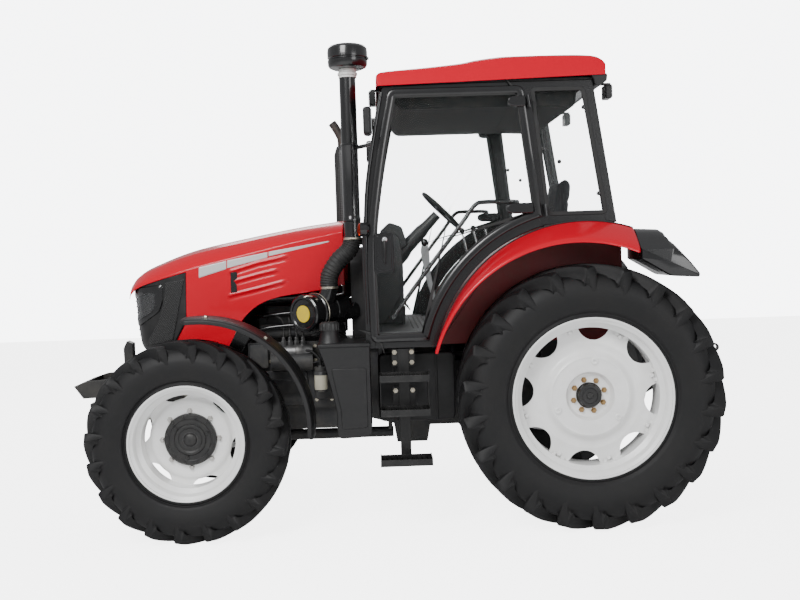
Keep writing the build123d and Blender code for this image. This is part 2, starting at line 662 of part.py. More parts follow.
with BuildPart() as intake_hose:
    with BuildLine():
        FilletPolyline((ahead(intake_x), stack_y, pipe_bottom + 10),
                       (ahead(intake_x), stack_y, 1640),
                       (ahead(1440), 460, 1520), (ahead(1440), 460, cleaner_z + 118), radius=90)
    with BuildSketch(Plane(origin=(ahead(intake_x), stack_y, pipe_bottom + 10), z_dir=(0, 0, -1))):
        Circle(pipe_r + 12)
    sweep()
with BuildPart() as intake_elbow:
    add(intake_hose.part)
    add(intake_pipe.part, mode=Mode.SUBTRACT)
    add(air_cleaner.part, mode=Mode.SUBTRACT)
pieces["intake_hose"] = intake_elbow

with BuildPart() as exhaust:
    with BuildSketch(Plane.XY.offset(1320)):
        with Locations((ahead(exhaust_x), -stack_y)):
            Circle(70)
    extrude(amount=480)
    with BuildSketch(Plane.XY.offset(1800)):
        with Locations((ahead(exhaust_x), -stack_y)):
            Circle(36)
    extrude(amount=600)
    with BuildLine():
        FilletPolyline((ahead(exhaust_x), -stack_y, 2400), (ahead(exhaust_x), -stack_y, 2480),
                       (ahead(exhaust_x + 70), -stack_y, 2530), radius=40)
    with BuildSketch(Plane.XY.offset(2400)):
        with Locations((ahead(exhaust_x), -stack_y)):
            Circle(34)
    sweep()
    with BuildLine():
        FilletPolyline((ahead(exhaust_x), -232 - seat_gap, block_top + 70),
                       (ahead(exhaust_x), -stack_y, block_top + 70),
                       (ahead(exhaust_x), -stack_y, 1325), radius=60)
    with BuildSketch(side_plane(-232 - seat_gap)):
        with Locations((ahead(exhaust_x), block_top + 70)):
            Circle(34)
    sweep()
pieces["exhaust"] = exhaust


# ---- Tank, battery box and steps ----------------------------------------------------
tank_rear, tank_out, tank_in = 1243, 880, 530
saddle_out, saddle_in, saddle_front, saddle_rear = 590, 240, 1200, 740
with BuildPart() as fuel_tanks:
    with BuildSketch(side_plane(tank_out)):
        Polygon(*side_points([(tank_rear, 560), (1438, 560), (1438, 718), (1505, 1020), (1531, 1080),
                              (1520, 1097), (tank_rear, 1097)]), align=None)
    extrude(amount=tank_out - tank_in)
    fillet(fuel_tanks.edges().filter_by(Axis.Y), 14)
    for z, r, height in ((1095, 52, 95), (1188, 55, 34)):
        with BuildSketch(Plane.XY.offset(z)):
            with Locations((ahead(1466), 780)):
                Circle(r)
        extrude(amount=height)
    # Saddle tanks beside the gearbox, on ledges, and the strap to the moulded tank.
    for side in (-1, 1):
        with BuildSketch(across(ahead(saddle_rear))):
            with Locations((side * (saddle_out + saddle_in) / 2, (600 + 1010) / 2)):
                Rectangle(saddle_out - saddle_in, 410)
        extrude(amount=saddle_front - saddle_rear)
        for x in (800, 1152):
            with BuildSketch(across(ahead(x))):
                with Locations((side * (saddle_in + house_half + seat_gap) / 2, 630)):
                    Rectangle(saddle_in - house_half - seat_gap, 60)
            extrude(amount=40)
    with BuildSketch(across(ahead(saddle_front - 5))):
        with Locations((tank_in + 20, 640)):
            Rectangle(60, 60)
    extrude(amount=tank_rear - saddle_front + 15)
pieces["fuel_tanks"] = fuel_tanks

with BuildPart() as battery_box:
    with BuildSketch(side_plane(-tank_in)):
        Polygon(*side_points([(tank_rear, 620), (1500, 620), (1500, 980), (tank_rear, 980)]),
                align=None)
    extrude(amount=340)
    with BuildSketch(across(ahead(saddle_front + seat_gap))):
        with Locations((-tank_in - 20, 640)):
            Rectangle(60, 40)
    extrude(amount=tank_rear - saddle_front + 15)
pieces["battery_box"] = battery_box

step_x, tread_w, tread_depth, tread_h = 1052, 300, 150, 36
tread_levels = (909, 716, 433)
bar_y, bar_w, bar_t = 780, 52, 16
with BuildPart() as steps:
    with BuildSketch(side_plane(bar_y + bar_t)):
        with Locations((ahead(step_x), (tread_levels[-1] + 1050) / 2 - 10)):
            Rectangle(bar_w, 1050 - tread_levels[-1] + 20)
    extrude(amount=bar_t)
    for z in tread_levels:
        with BuildSketch(Plane.XY.offset(z - tread_h)):
            with Locations((ahead(step_x), bar_y + bar_t + tread_depth / 2)):
                Rectangle(tread_w, tread_depth)
        extrude(amount=tread_h)
        for x in (-tread_w / 2, tread_w / 2 - 6):
            with BuildSketch(side_plane(bar_y + bar_t + tread_depth)):
                with Locations((ahead(step_x) + x + 3, z)):
                    Rectangle(6, 44)
            extrude(amount=tread_depth)
    # Cheek plates between the two upper treads, and the bolting plate under the cab.
    for x in (-tread_w / 2, tread_w / 2 - 6):
        with BuildSketch(side_plane(bar_y + bar_t + 40)):
            with Locations((ahead(step_x) + x + 3, (tread_levels[0] + tread_levels[1]) / 2)):
                Rectangle(6, tread_levels[0] - tread_levels[1])
        extrude(amount=60)
    with BuildSketch(side_plane(bar_y)):
        with Locations((ahead(step_x), 1000)):
            Rectangle(130, 100)
        with Locations((ahead(step_x), 760)):
            Rectangle(130, 140)
    extrude(amount=10)
    for z in (720, 960):
        with BuildSketch(side_plane(bar_y)):
            with Locations((ahead(step_x), z)):
                Rectangle(60, 40)
        extrude(amount=bar_y - saddle_out - seat_gap)
keep_pair("steps", steps)


# ---- Cab ----------------------------------------------------------------------------
cab_half, side_t = 795, 45
floor_top, sill_z, rail_z, rail_top = 1144, 1056, 2496, 2540
arch_x, arch_z, arch_r = 7, 887, 856       # fender arch, seen from the side
pillar = 58
sill_front, notch_z = tank_rear - 8, 1106
side_outline = [(858, sill_z), (sill_front, sill_z), (sill_front, notch_z), (1262, notch_z),
                (1270, 1677), (1203, 2144), (1122, rail_top),
                (-66, rail_top), (-187, 1733)]
# Door hinge line: distance ahead of the rear axle and height of its two ends.
hinge_top, hinge_low, hinge_y, hinge_r = (316, 2516), (218, 1770), 835, 10
hinge_lean = degrees(atan2(hinge_top[0] - hinge_low[0], hinge_top[1] - hinge_low[1]))
hinge_knuckle, hinge_levels = 34, (1812, 2424)


def hinge_plane(z):
    """Plane square to the door hinge line, at this height; local x is +Y."""
    lean = radians(hinge_lean)
    x = hinge_low[0] + (z - hinge_low[1]) * tan(lean)
    return Plane(origin=(ahead(x), hinge_y, z), x_dir=(0, 1, 0), z_dir=(sin(lean), 0, cos(lean)))


door_opening = [(900, 1120), (1205, 1120), (1213, 1672), (1146, 2130), (1064, rail_z),
                (350, rail_z), (262, 1790)]
arch_open_r = arch_r + 90


with BuildPart() as cab_frame:
    with BuildSketch(side_plane(cab_half)):
        Polygon(*side_points(side_outline), align=None)
        with Locations((ahead(arch_x), arch_z)):
            Circle(arch_r + 20, mode=Mode.SUBTRACT)
    extrude(amount=side_t)
    with BuildSketch(side_plane(cab_half)):
        Polygon(*side_points(door_opening), align=None)
        with Locations((ahead(arch_x), arch_z)):
            Circle(arch_open_r, mode=Mode.SUBTRACT)
    extrude(amount=side_t, mode=Mode.SUBTRACT)
    with BuildSketch(side_plane(cab_half)):
        Polygon(*side_points([(206, 1790), (278, rail_z), (-12, rail_z), (-128, 1790)]), align=None)
    extrude(amount=side_t, mode=Mode.SUBTRACT)
    # Lower knuckles of the door hinges. Local x is outward and local y is backward.
    for z in hinge_levels:
        with BuildSketch(hinge_plane(z)):
            Circle(hinge_r)
            with Locations(((cab_half - hinge_y) / 2 - 2, 0)):
                Rectangle(hinge_y - cab_half + 4, 2 * hinge_r)
        extrude(amount=-hinge_knuckle)
    # Hood hinge: an arm off the front member, with a pin that points outward.
    with BuildSketch(side_plane(hood_arm_y)):
        Polygon(*side_points([(1263, 1650), (1263, 1697), (1330, 1702), (1372, 1752), (1398, 1752),
                              (1398, 1728), (1345, 1665)]), align=None)
    extrude(amount=12)
    with BuildSketch(side_plane(hood_arm_y + 48)):
        with Locations((ahead(hood_hinge[0]), hood_hinge[1])):
            Circle(hood_pin_r)
    extrude(amount=54)
    mirror(about=Plane.XZ)
    # Headers over the windscreen and the rear window, and the members below them.
    for outline in ([(1064, rail_z), (1131, rail_z), (1122, rail_top), (1064, rail_top)],
                    [(-74, rail_z), (-10, rail_z), (-10, rail_top), (-66, rail_top)],
                    [(-186, 1746), (-120, 1746), (-114, 1785), (-180, 1785)],
                    [(1205, 1640), (1265, 1640), (1262, 1700), (1205, 1700)]):
        with BuildSketch(side_plane(cab_half - side_t)):
            Polygon(*side_points(outline), align=None)
        extrude(amount=2 * (cab_half - side_t))
pieces["cab_frame"] = cab_frame

well_y = 562
with BuildPart() as cab_floor:
    # Floor, stepped up over the driveline behind the driver's feet.
    with BuildSketch(side_plane(well_y)):
        Polygon(*side_points([(-150, floor_bottom), (sill_front, floor_bottom), (sill_front, notch_z),
                              (1262, notch_z), (1262, floor_top), (420, floor_top), (330, 1330),
                              (-150, 1330)]), align=None)
    extrude(amount=2 * well_y)
    with BuildSketch(side_plane(cab_half - side_t)):
        Polygon(*side_points([(880, floor_bottom), (sill_front, floor_bottom), (sill_front, notch_z),
                              (1262, notch_z), (1262, floor_top), (880, floor_top)]), align=None)
    extrude(amount=2 * (cab_half - side_t))
    # Bulkhead behind the engine and the wall below the rear window.
    with BuildSketch(side_plane(cab_half - side_t)):
        Polygon(*side_points([(1232, floor_top), (1262, floor_top), (1262, 1640), (1232, 1640)]),
                align=None)
    extrude(amount=2 * (cab_half - side_t))
    with BuildSketch(side_plane(well_y)):
        Polygon(*side_points([(-150, 1330), (-120, 1330), (-120, 1745), (-180, 1745)]), align=None)
    extrude(amount=2 * well_y)
pieces["cab_floor"] = cab_floor

roof_half = 835
roof_outline = [(1120, 2541), (1168, 2541), (1151, 2603), (1104, 2620), (872, 2637), (685, 2654),
                (592, 2671), (498, 2684), (405, 2690), (-61, 2688), (-107, 2669), (-139, 2631),
                (-152, 2580), (-148, 2541)]
with BuildPart() as cab_roof:
    with BuildSketch(side_plane(roof_half)):
        Polygon(*side_points(roof_outline), align=None)
    extrude(amount=2 * roof_half)
    with BuildSketch(across(ahead(-400))):
        with BuildLine():
            Polyline((roof_half - 62, 2720), (roof_half - 52, 2684), (roof_half - 24, 2652),
                     (roof_half, 2580), (roof_half + 50, 2580), (roof_half + 50, 2720), close=True)
        make_face()
        mirror(about=Plane.YZ)
    extrude(amount=2000, mode=Mode.SUBTRACT)
pieces["cab_roof"] = cab_roof

glass_t, pane_half = 6, 742
with BuildPart() as windscreen:
    with BuildSketch(side_plane(pane_half)):
        Polygon(*side_points([(1262, 1701), (1198, 2144), (1125, 2495), (1119, 2495),
                              (1192, 2144), (1256, 1701)]), align=None)
    extrude(amount=2 * pane_half)
pieces["windscreen"] = windscreen

with BuildPart() as rear_window:
    with BuildSketch(side_plane(pane_half)):
        Polygon(*side_points([(-172, 1786), (-166, 1786), (-66, 2495), (-72, 2495)]), align=None)
    extrude(amount=2 * pane_half)
pieces["rear_window"] = rear_window

with BuildPart() as quarter_window:
    with BuildSketch(side_plane(cab_half - 8)):
        Polygon(*side_points([(205, 1791), (277, rail_z - 1), (-11, rail_z - 1), (-127, 1791)]),
                align=None)
    extrude(amount=glass_t)
keep_pair("quarter_window", quarter_window)

# Doors: a welded tube frame that closes over the side frame, and a bonded pane in it.
door_in, door_t, door_w = cab_half + 4, 26, 42
door_outline = [(870, 1092), (1232, 1092), (1240, 1672), (1172, 2140), (1092, 2516), (330, 2516),
                (232, 1770)]
door_arch_r = arch_r + 62
with BuildPart() as door:
    with BuildSketch(side_plane(door_in + door_t)):
        Polygon(*side_points(door_outline), align=None)
        with Locations((ahead(arch_x), arch_z)):
            Circle(door_arch_r, mode=Mode.SUBTRACT)
    extrude(amount=door_t)
    with BuildSketch(side_plane(door_in + door_t)):
        Polygon(*side_points([(900, 1092 + door_w), (1190, 1092 + door_w), (1198, 1668),
                              (1130, 2132), (1058, 2516 - door_w), (366, 2516 - door_w),
                              (276, 1780)]), align=None)
        with Locations((ahead(arch_x), arch_z)):
            Circle(door_arch_r + door_w, mode=Mode.SUBTRACT)
    extrude(amount=door_t, mode=Mode.SUBTRACT)
    # Latch box and handle at the front edge, hinge leaves at the rear edge.
    with BuildSketch(side_plane(door_in + door_t)):
        with Locations((ahead(1140), 1600)):
            Rectangle(110, 230)
    extrude(amount=door_t)
    with BuildSketch(side_plane(door_in + door_t + 22)):
        with Locations((ahead(1130), 1600)):
            RectangleRounded(34, 150, 16)
    extrude(amount=22)
    for z in hinge_levels:
        with BuildSketch(hinge_plane(z).offset(seat_gap)):
            Circle(hinge_r)
            with Locations((-hinge_r + 2, -12)):
                Rectangle(2 * hinge_r - 8, 24 + 16)
        extrude(amount=hinge_knuckle)
keep_pair("door", door)

with BuildPart() as door_glass:
    with BuildSketch(side_plane(door_in + 16)):
        Polygon(*side_points([(900, 1092 + door_w), (1190, 1092 + door_w), (1198, 1668),
                              (1130, 2132), (1058, 2516 - door_w), (366, 2516 - door_w),
                              (276, 1780)]), align=None)
        with Locations((ahead(arch_x), arch_z)):
            Circle(door_arch_r + door_w, mode=Mode.SUBTRACT)
        with Locations((ahead(1140), 1600)):
            Rectangle(110, 230, mode=Mode.SUBTRACT)
    extrude(amount=glass_t)
keep_pair("door_glass", door_glass)


# ---- Rear fenders and tail lamps ----------------------------------------------------
fender_t, fender_edge_y, flare_y = 14, 828, overall_half_width
flare_x, flare_z, flare_r = 68, 789, 847
fender_front, fender_end_x = 10.3, -270
fender_rear = degrees(acos((fender_end_x - arch_x) / arch_r))
flare_front, flare_rear = 17, degrees(acos((fender_end_x - flare_x) / flare_r))
with BuildPart() as fender:
    with BuildSketch(side_plane(fender_edge_y)):
        with BuildLine():
            top = CenterArc((ahead(arch_x), arch_z), arch_r, fender_front, fender_rear - fender_front)
            under = CenterArc((ahead(arch_x), arch_z), arch_r - fender_t, fender_front,
                              fender_rear - fender_front)
            Line(top @ 0, under @ 0)
            Line(top @ 1, under @ 1)
        make_face()
    extrude(amount=fender_edge_y - well_y - seat_gap)
    with BuildSketch(side_plane(fender_edge_y)):
        with BuildLine():
            top = CenterArc((ahead(arch_x), arch_z), arch_r, fender_front, fender_rear - fender_front)
            under = CenterArc((ahead(arch_x), arch_z), arch_r - fender_t, fender_front,
                              fender_rear - fender_front)
            Line(top @ 0, under @ 0)
            Line(top @ 1, under @ 1)
        make_face()
    with BuildSketch(side_plane(flare_y)):
        with BuildLine():
            top = CenterArc((ahead(flare_x), flare_z), flare_r, flare_front, flare_rear - flare_front)
            under = CenterArc((ahead(flare_x), flare_z), flare_r - fender_t, flare_front,
                              flare_rear - flare_front)
            Line(top @ 0, under @ 0)
            Line(top @ 1, under @ 1)
        make_face()
    loft(ruled=True)
    # Inner wall of the wheel well, which closes the side of the cab.
    with BuildSketch(side_plane(well_y + seat_gap + 16)):
        with Locations((ahead(arch_x), arch_z)):
            Circle(arch_r)
        with Locations((ahead(arch_x), arch_z - 846)):
            Rectangle(4000, 2 * 1000, mode=Mode.SUBTRACT)
        with Locations((ahead(-1300), arch_z)):
            Rectangle(2 * 1020, 4000, mode=Mode.SUBTRACT)
    extrude(amount=16)
keep_pair("rear_fender", fender)

lamp_in_y = 640
with BuildPart() as tail_lamps:
    with BuildSketch(side_plane(overall_half_width - 8)):
        Polygon(*side_points([(-276, 1520), (-276, 1694), (-419, 1686), (-448, 1621), (-555, 1495),
                              (-604, 1433), (-600, 1411), (-442, 1421), (-330, 1490)]), align=None)
    extrude(amount=overall_half_width - 8 - lamp_in_y)
    with BuildSketch(across(ahead(-700))):
        Polygon((fender_edge_y, 1700), (overall_half_width, 1566), (overall_half_width, 1800),
                (fender_edge_y, 1800), align=None)
    extrude(amount=500, mode=Mode.SUBTRACT)
    mirror(about=Plane.XZ)
pieces["tail_lamps"] = tail_lamps


# ---- Inside the cab -----------------------------------------------------------------
wheel_mid = Vector(ahead(760), 0, 1857)
column_tilt = 45
column_axis = Vector(-sin(radians(column_tilt)), 0, cos(radians(column_tilt)))
steering_r = 190
with BuildPart() as controls:
    with BuildSketch(Plane.XY.offset(floor_top + seat_gap)):
        with Locations((ahead(1110), 0)):
            RectangleRounded(200, 360, 30)
    extrude(amount=1726 - floor_top - seat_gap, taper=4)
    column = Plane(origin=wheel_mid, z_dir=-column_axis)
    with BuildSketch(column.offset(40)):
        Circle(34)
    extrude(amount=330)
    # Right-hand console with the levers, and the seat base.
    with BuildSketch(side_plane(-300)):
        Polygon(*side_points([(60, 1330 + seat_gap), (330, 1330 + seat_gap), (430, 1250), (640, 1250),
                              (600, 1560), (100, 1640)]), align=None)
    extrude(amount=well_y - seat_gap - 300)
    with BuildSketch(side_plane(170)):
        Polygon(*side_points([(60, 1330 + seat_gap), (300, 1330 + seat_gap), (380, 1470),
                              (20, 1470)]), align=None)
    extrude(amount=340)
    for x, y, z in ((1010, 190, floor_top), (1010, -120, floor_top), (1010, -210, floor_top)):
        with BuildSketch(Plane.XY.offset(z + seat_gap)):
            with Locations((ahead(x), y)):
                Rectangle(60, 70)
        extrude(amount=150)
pieces["controls"] = controls

with BuildPart() as steering_wheel:
    ring = Plane(origin=wheel_mid, x_dir=(0, 1, 0), z_dir=column_axis)
    with BuildSketch(ring.offset(-12)):
        Circle(steering_r)
        Circle(steering_r - 26, mode=Mode.SUBTRACT)
    extrude(amount=24)
    with BuildSketch(ring.offset(-22)):
        Circle(52)
    extrude(amount=34)
    with BuildSketch(ring.offset(-8)):
        with PolarLocations(105, 3, start_angle=90):
            Rectangle(150, 34)
    extrude(amount=12)
pieces["steering_wheel"] = steering_wheel

with BuildPart() as seat:
    with BuildSketch(side_plane(245)):
        Polygon(*side_points([(20, 1471), (420, 1471), (480, 1530), (470, 1590), (120, 1590),
                              (20, 2060), (-60, 2060), (-40, 1560)]), align=None)
    extrude(amount=490)
pieces["seat"] = seat


# ---- Mirrors and lamps on the cab ---------------------------------------------------
with BuildPart() as mirrors:
    with BuildSketch(side_plane(962)):
        Polygon(*side_points([(1182, 2250), (1236, 2255), (1236, 2405), (1182, 2410)]), align=None)
    extrude(amount=150)
    with BuildSketch(Plane.XY.offset(2300)):
        Polygon((ahead(1172), 755), (ahead(1200), 755), (ahead(1225), 815), (ahead(1195), 815),
                align=None)
    extrude(amount=26)
    mirror(about=Plane.XZ)
pieces["mirrors"] = mirrors

# Lamp table: where the bracket starts and ends, and where the lamp starts, ahead of the axle.
with BuildPart() as work_lamps:
    for start, end, lamp_start in ((1134, 1190, 1160), (-200, -90, -205)):
        for y in (-640, 640):
            with BuildSketch(across(ahead(lamp_start))):
                with Locations((y, 2488)):
                    RectangleRounded(120, 84, 14)
            extrude(amount=44)
            with BuildSketch(Plane.XY.offset(2529)):
                with Locations((ahead((start + end) / 2), y)):
                    Rectangle(end - start, 50)
            extrude(amount=11)
pieces["work_lamps"] = work_lamps


# ---- Three-point hitch --------------------------------------------------------------
# The flat bars lie in side planes, with round ends.
def bar(y, start, end, height, width):
    """A flat bar along a line of the side view."""
    length = hypot(end[0] - start[0], end[1] - start[1])
    turn = degrees(atan2(end[1] - start[1], end[0] - start[0]))
    with BuildPart() as flat:
        with BuildSketch(side_plane(y + width / 2)):
            with Locations((ahead((start[0] + end[0]) / 2), (start[1] + end[1]) / 2)):
                SlotCenterToCenter(length, height, rotation=turn)
        extrude(amount=width)
    return flat.part


with BuildPart() as lower_links:
    add(bar(link_y, link_pivot, link_end, 2 * ball_r, link_w))
    for spot in (link_pivot, link_end):
        with BuildSketch(side_plane(link_y + 24)):
            with Locations((ahead(spot[0]), spot[1])):
                Circle(ball_bore)
        extrude(amount=48, mode=Mode.SUBTRACT)
    mirror(about=Plane.XZ)
pieces["lower_links"] = lower_links

arm_w, rod_w = 34, 26
rod_y = link_y + arm_w / 2 + rod_gap + rod_w / 2
with BuildPart() as lift_arms:
    for y in (-link_y, link_y):
        add(bar(y, arm_pivot, arm_tip, 60, arm_w))
    with BuildSketch(side_plane(link_y)):
        with Locations((ahead(arm_pivot[0]), arm_pivot[1])):
            Circle(shaft_r)
    extrude(amount=2 * link_y)
    with BuildSketch(side_plane(rod_y + rod_w / 2 + 4)):
        with Locations((ahead(arm_tip[0]), arm_tip[1])):
            Circle(rod_pin_r)
    extrude(amount=rod_w + rod_gap + 8)
    with BuildSketch(side_plane(-link_y)):
        with Locations((ahead(arm_tip[0]), arm_tip[1])):
            Circle(rod_pin_r)
    extrude(amount=rod_y + rod_w / 2 + 4 - link_y)
pieces["lift_arms"] = lift_arms

with BuildPart() as lift_rods:
    add(bar(rod_y, arm_tip, rod_foot, 44, rod_w))
    with BuildSketch(side_plane(rod_y + rod_w)):
        with Locations((ahead(arm_tip[0]), arm_tip[1])):
            Circle(rod_pin_r + 0.5)
        with Locations((ahead(rod_foot[0]), rod_foot[1])):
            Circle(rod_pin_r + 0.5)
    extrude(amount=2 * rod_w, mode=Mode.SUBTRACT)
    mirror(about=Plane.XZ)
pieces["lift_rods"] = lift_rods

with BuildPart() as top_link:
    add(bar(0, top_pin, top_hook, 48, 50))
    with BuildSketch(side_plane(40)):
        for spot in (top_pin, top_hook):
            with Locations((ahead(spot[0]), spot[1])):
                Circle(top_pin_r + 0.25)
    extrude(amount=80, mode=Mode.SUBTRACT)
pieces["top_link"] = top_link

with BuildPart() as drawbar:
    with BuildSketch(Plane.XY.offset(400)):
        with Locations((ahead(-330), 0)):
            RectangleRounded(560, 90, 30)
        with Locations((ahead(-570), 0)):
            Circle(16.5, mode=Mode.SUBTRACT)
    extrude(amount=32)
pieces["drawbar"] = drawbar

os.makedirs("parts", exist_ok=True)
for name, piece in pieces.items():
    piece.part.label = name
    export_step(piece.part, f"parts/{name}.step")
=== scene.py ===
from math import cos, pi, radians, sin

import bmesh
import bpy
import numpy as np
from mathutils import Matrix, Vector


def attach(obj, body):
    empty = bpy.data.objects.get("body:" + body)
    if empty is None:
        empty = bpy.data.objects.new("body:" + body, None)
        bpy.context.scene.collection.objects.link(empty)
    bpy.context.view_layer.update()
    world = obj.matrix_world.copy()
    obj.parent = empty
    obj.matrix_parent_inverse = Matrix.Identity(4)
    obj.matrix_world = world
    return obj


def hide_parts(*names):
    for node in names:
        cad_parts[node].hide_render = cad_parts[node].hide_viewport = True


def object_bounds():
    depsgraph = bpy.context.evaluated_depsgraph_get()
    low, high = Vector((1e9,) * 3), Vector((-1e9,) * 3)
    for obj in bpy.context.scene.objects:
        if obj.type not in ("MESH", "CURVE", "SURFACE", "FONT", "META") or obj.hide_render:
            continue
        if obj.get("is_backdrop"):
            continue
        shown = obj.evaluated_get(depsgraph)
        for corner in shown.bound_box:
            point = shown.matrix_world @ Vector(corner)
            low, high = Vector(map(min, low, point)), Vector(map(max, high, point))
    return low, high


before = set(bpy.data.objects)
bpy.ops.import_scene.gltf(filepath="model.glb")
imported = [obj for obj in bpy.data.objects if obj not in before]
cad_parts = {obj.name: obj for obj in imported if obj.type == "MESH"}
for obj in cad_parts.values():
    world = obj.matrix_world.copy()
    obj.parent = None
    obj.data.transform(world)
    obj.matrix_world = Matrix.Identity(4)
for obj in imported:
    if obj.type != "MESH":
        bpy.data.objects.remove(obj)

cad_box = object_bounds()

# ---- Stage ---------------------------------------------------------------------------
# A pale floor that is part of no piece, a white surround, three large soft lights, and a
# camera at a person's eye height, nearly square to the left side.
heading, pitch, roll = -0.021, -0.050, -0.032
eye = (0.1045, 6.617, 1.621)
forward = Vector((sin(heading) * cos(pitch), -cos(heading) * cos(pitch), sin(pitch)))
right = Vector((-cos(heading), -sin(heading), 0))
level = Matrix((right, right.cross(forward), -forward)).transposed()
camera = bpy.data.objects.new("camera", bpy.data.cameras.new("camera"))
camera.data.sensor_width = 36
camera.data.lens = 46.17
camera.matrix_world = Matrix.Translation(eye) @ (level @ Matrix.Rotation(roll, 3, "Z")).to_4x4()
bpy.context.collection.objects.link(camera)
bpy.context.scene.camera = camera


def shader(name):
    """A new material with its own Principled BSDF: the material, its node tree, the shader."""
    made = bpy.data.materials.new(name)
    made.use_nodes = True
    return made, made.node_tree, made.node_tree.nodes["Principled BSDF"]


def set_inputs(made, **values):
    """Sets a node's inputs by socket name, written with _ for a space."""
    for key, value in values.items():
        made.inputs[key.replace("_", " ")].default_value = value


def node(tree, kind, **settings):
    """A node of this kind in a tree, with its settings and, by socket name, its values."""
    made = tree.nodes.new(kind)
    for key, value in settings.items():
        if hasattr(made, key):
            setattr(made, key, value)
        else:
            set_inputs(made, **{key: value})
    return made


def join(tree, *links):
    """Links in a node tree, each given as a node, its output, a second node and its input."""
    for source, output, target, socket in links:
        tree.links.new(source.outputs[output], target.inputs[socket])


world = bpy.data.worlds.new("white_studio")
bpy.context.scene.world = world
world.use_nodes = True
# Seen straight on, the surround and the floor are near white; as light they stay soft.
surround = world.node_tree
backdrop = surround.nodes["Background"]
set_inputs(backdrop, Color=(0.97, 0.98, 1, 1))
seen = node(surround, "ShaderNodeLightPath")
glow = node(surround, "ShaderNodeMapRange", To_Min=0.55, To_Max=7.0)
join(surround, (seen, "Is Camera Ray", glow, "Value"), (glow, "Result", backdrop, "Strength"))

for name, place, aim, size, power in (
        ("key_light", (3.0, 6.5, 6.0), (0, 0, 1.0), 3.2, 560),
        ("fill_light", (-4.5, 6.5, 3.0), (-0.4, 0, 1.0), 3.0, 120),
        ("back_light", (0.5, -6.0, 5.0), (0, 0, 1.2), 4.0, 160)):
    lamp = bpy.data.lights.new(name, "AREA")
    lamp.size, lamp.energy = size, power
    light = bpy.data.objects.new(name, lamp)
    light.location = place
    light.rotation_euler = (Vector(aim) - Vector(place)).to_track_quat("-Z", "Y").to_euler()
    bpy.context.collection.objects.link(light)

floor_half = 14.0
floor_mesh = bpy.data.meshes.new("floor")
floor_mesh.from_pydata([(-floor_half, -floor_half, 0), (floor_half, -floor_half, 0),
                        (floor_half, floor_half, 0), (-floor_half, floor_half, 0)], [], [(0, 1, 2, 3)])
floor = bpy.data.objects.new("floor", floor_mesh)
floor.location.z = cad_box[0][2]
bpy.context.collection.objects.link(floor)
pale, tree, skin = shader("pale_floor")
set_inputs(skin, Base_Color=(0.90, 0.90, 0.90, 1), Roughness=0.9, Emission_Color=(1, 1, 1, 1))
seen = node(tree, "ShaderNodeLightPath")
glow = node(tree, "ShaderNodeMapRange", To_Max=4.5)
join(tree, (seen, "Is Camera Ray", glow, "Value"), (glow, "Result", skin, "Emission Strength"))
floor_mesh.materials.append(pale)
floor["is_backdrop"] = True


# ---- Tyres ---------------------------------------------------------------------------
# Bias tractor tyres of black rubber: a carcass with a rim flange, a bulging side wall and
# a crowned tread, and two rows of slanted lugs that run down over the shoulders.
sides = (("left", 1), ("right", -1))


def points_at(*coordinates):
    """Points from their coordinates, which are first stretched to one shape."""
    return np.stack(np.broadcast_arrays(*coordinates), -1)


def smooth_line(points, count):
    """Smooth curve through a short table of points: on each span the four nearest points are
    blended with the cubic weights of a Catmull-Rom spline."""
    p = np.asarray(points, float)
    p = np.vstack([2 * p[0] - p[1], p, 2 * p[-1] - p[-2]])
    t = np.linspace(0, len(p) - 3 - 1e-9, count)
    k = t.astype(int)
    f = (t - k)[:, None]
    a, b, c, d = p[k], p[k + 1], p[k + 2], p[k + 3]
    return 0.5 * (2 * b + (c - a) * f + (2 * a - 5 * b + 4 * c - d) * f ** 2
                  + (3 * b - a - 3 * c + d) * f ** 3)


def ring_of(profile, centre, count):
    """Surface of revolution about a line along Y: each profile point (distance outward from
    the centre, radius) is carried round a circle of that radius."""
    profile = np.asarray(profile, float)
    turn = np.arange(count) / count * 2 * pi
    y, r = profile[:, 0, None], profile[:, 1, None]
    return points_at(centre[0] + r * np.cos(turn), centre[1] + y, centre[2] + r * np.sin(turn))


def surface(name, body, finish, *grids, replaces=(), sharp=35, wall=0.0, slot=None):
    """One mesh from grids of points. A grid is (points, close rows, close columns), and its
    points have the shape (copies..., rows, columns, 3). Neighbours in a grid share a quad,
    points that coincide are merged, and the faces are turned outward."""
    all_points, all_quads, base = [], [], 0
    for points, close_rows, close_columns in grids:
        points = np.asarray(points, float)
        rows, columns = points.shape[-3:-1]
        points = points.reshape(-1, rows * columns, 3)
        r, c = np.meshgrid(np.arange(rows - (not close_rows)),
                           np.arange(columns - (not close_columns)), indexing="ij")
        r2, c2 = (r + 1) % rows, (c + 1) % columns
        quads = np.stack([r * columns + c, r * columns + c2, r2 * columns + c2, r2 * columns + c],
                         -1).reshape(-1, 4)
        copies = np.arange(len(points))[:, None, None] * rows * columns
        all_quads.append((quads[None] + copies).reshape(-1, 4) + base)
        all_points.append(points.reshape(-1, 3))
        base += points.shape[0] * rows * columns
    points, quads = np.vstack(all_points), np.vstack(all_quads)
    mesh = bpy.data.meshes.new(name)
    mesh.vertices.add(len(points))
    mesh.vertices.foreach_set("co", points.astype(np.float32).ravel())
    mesh.loops.add(quads.size)
    mesh.loops.foreach_set("vertex_index", quads.astype(np.int32).ravel())
    mesh.polygons.add(len(quads))
    mesh.polygons.foreach_set("loop_start", np.arange(0, quads.size, 4, dtype=np.int32))
    mesh.update(calc_edges=True)
    finish_piece(name, mesh, body, finish, replaces, sharp, wall)


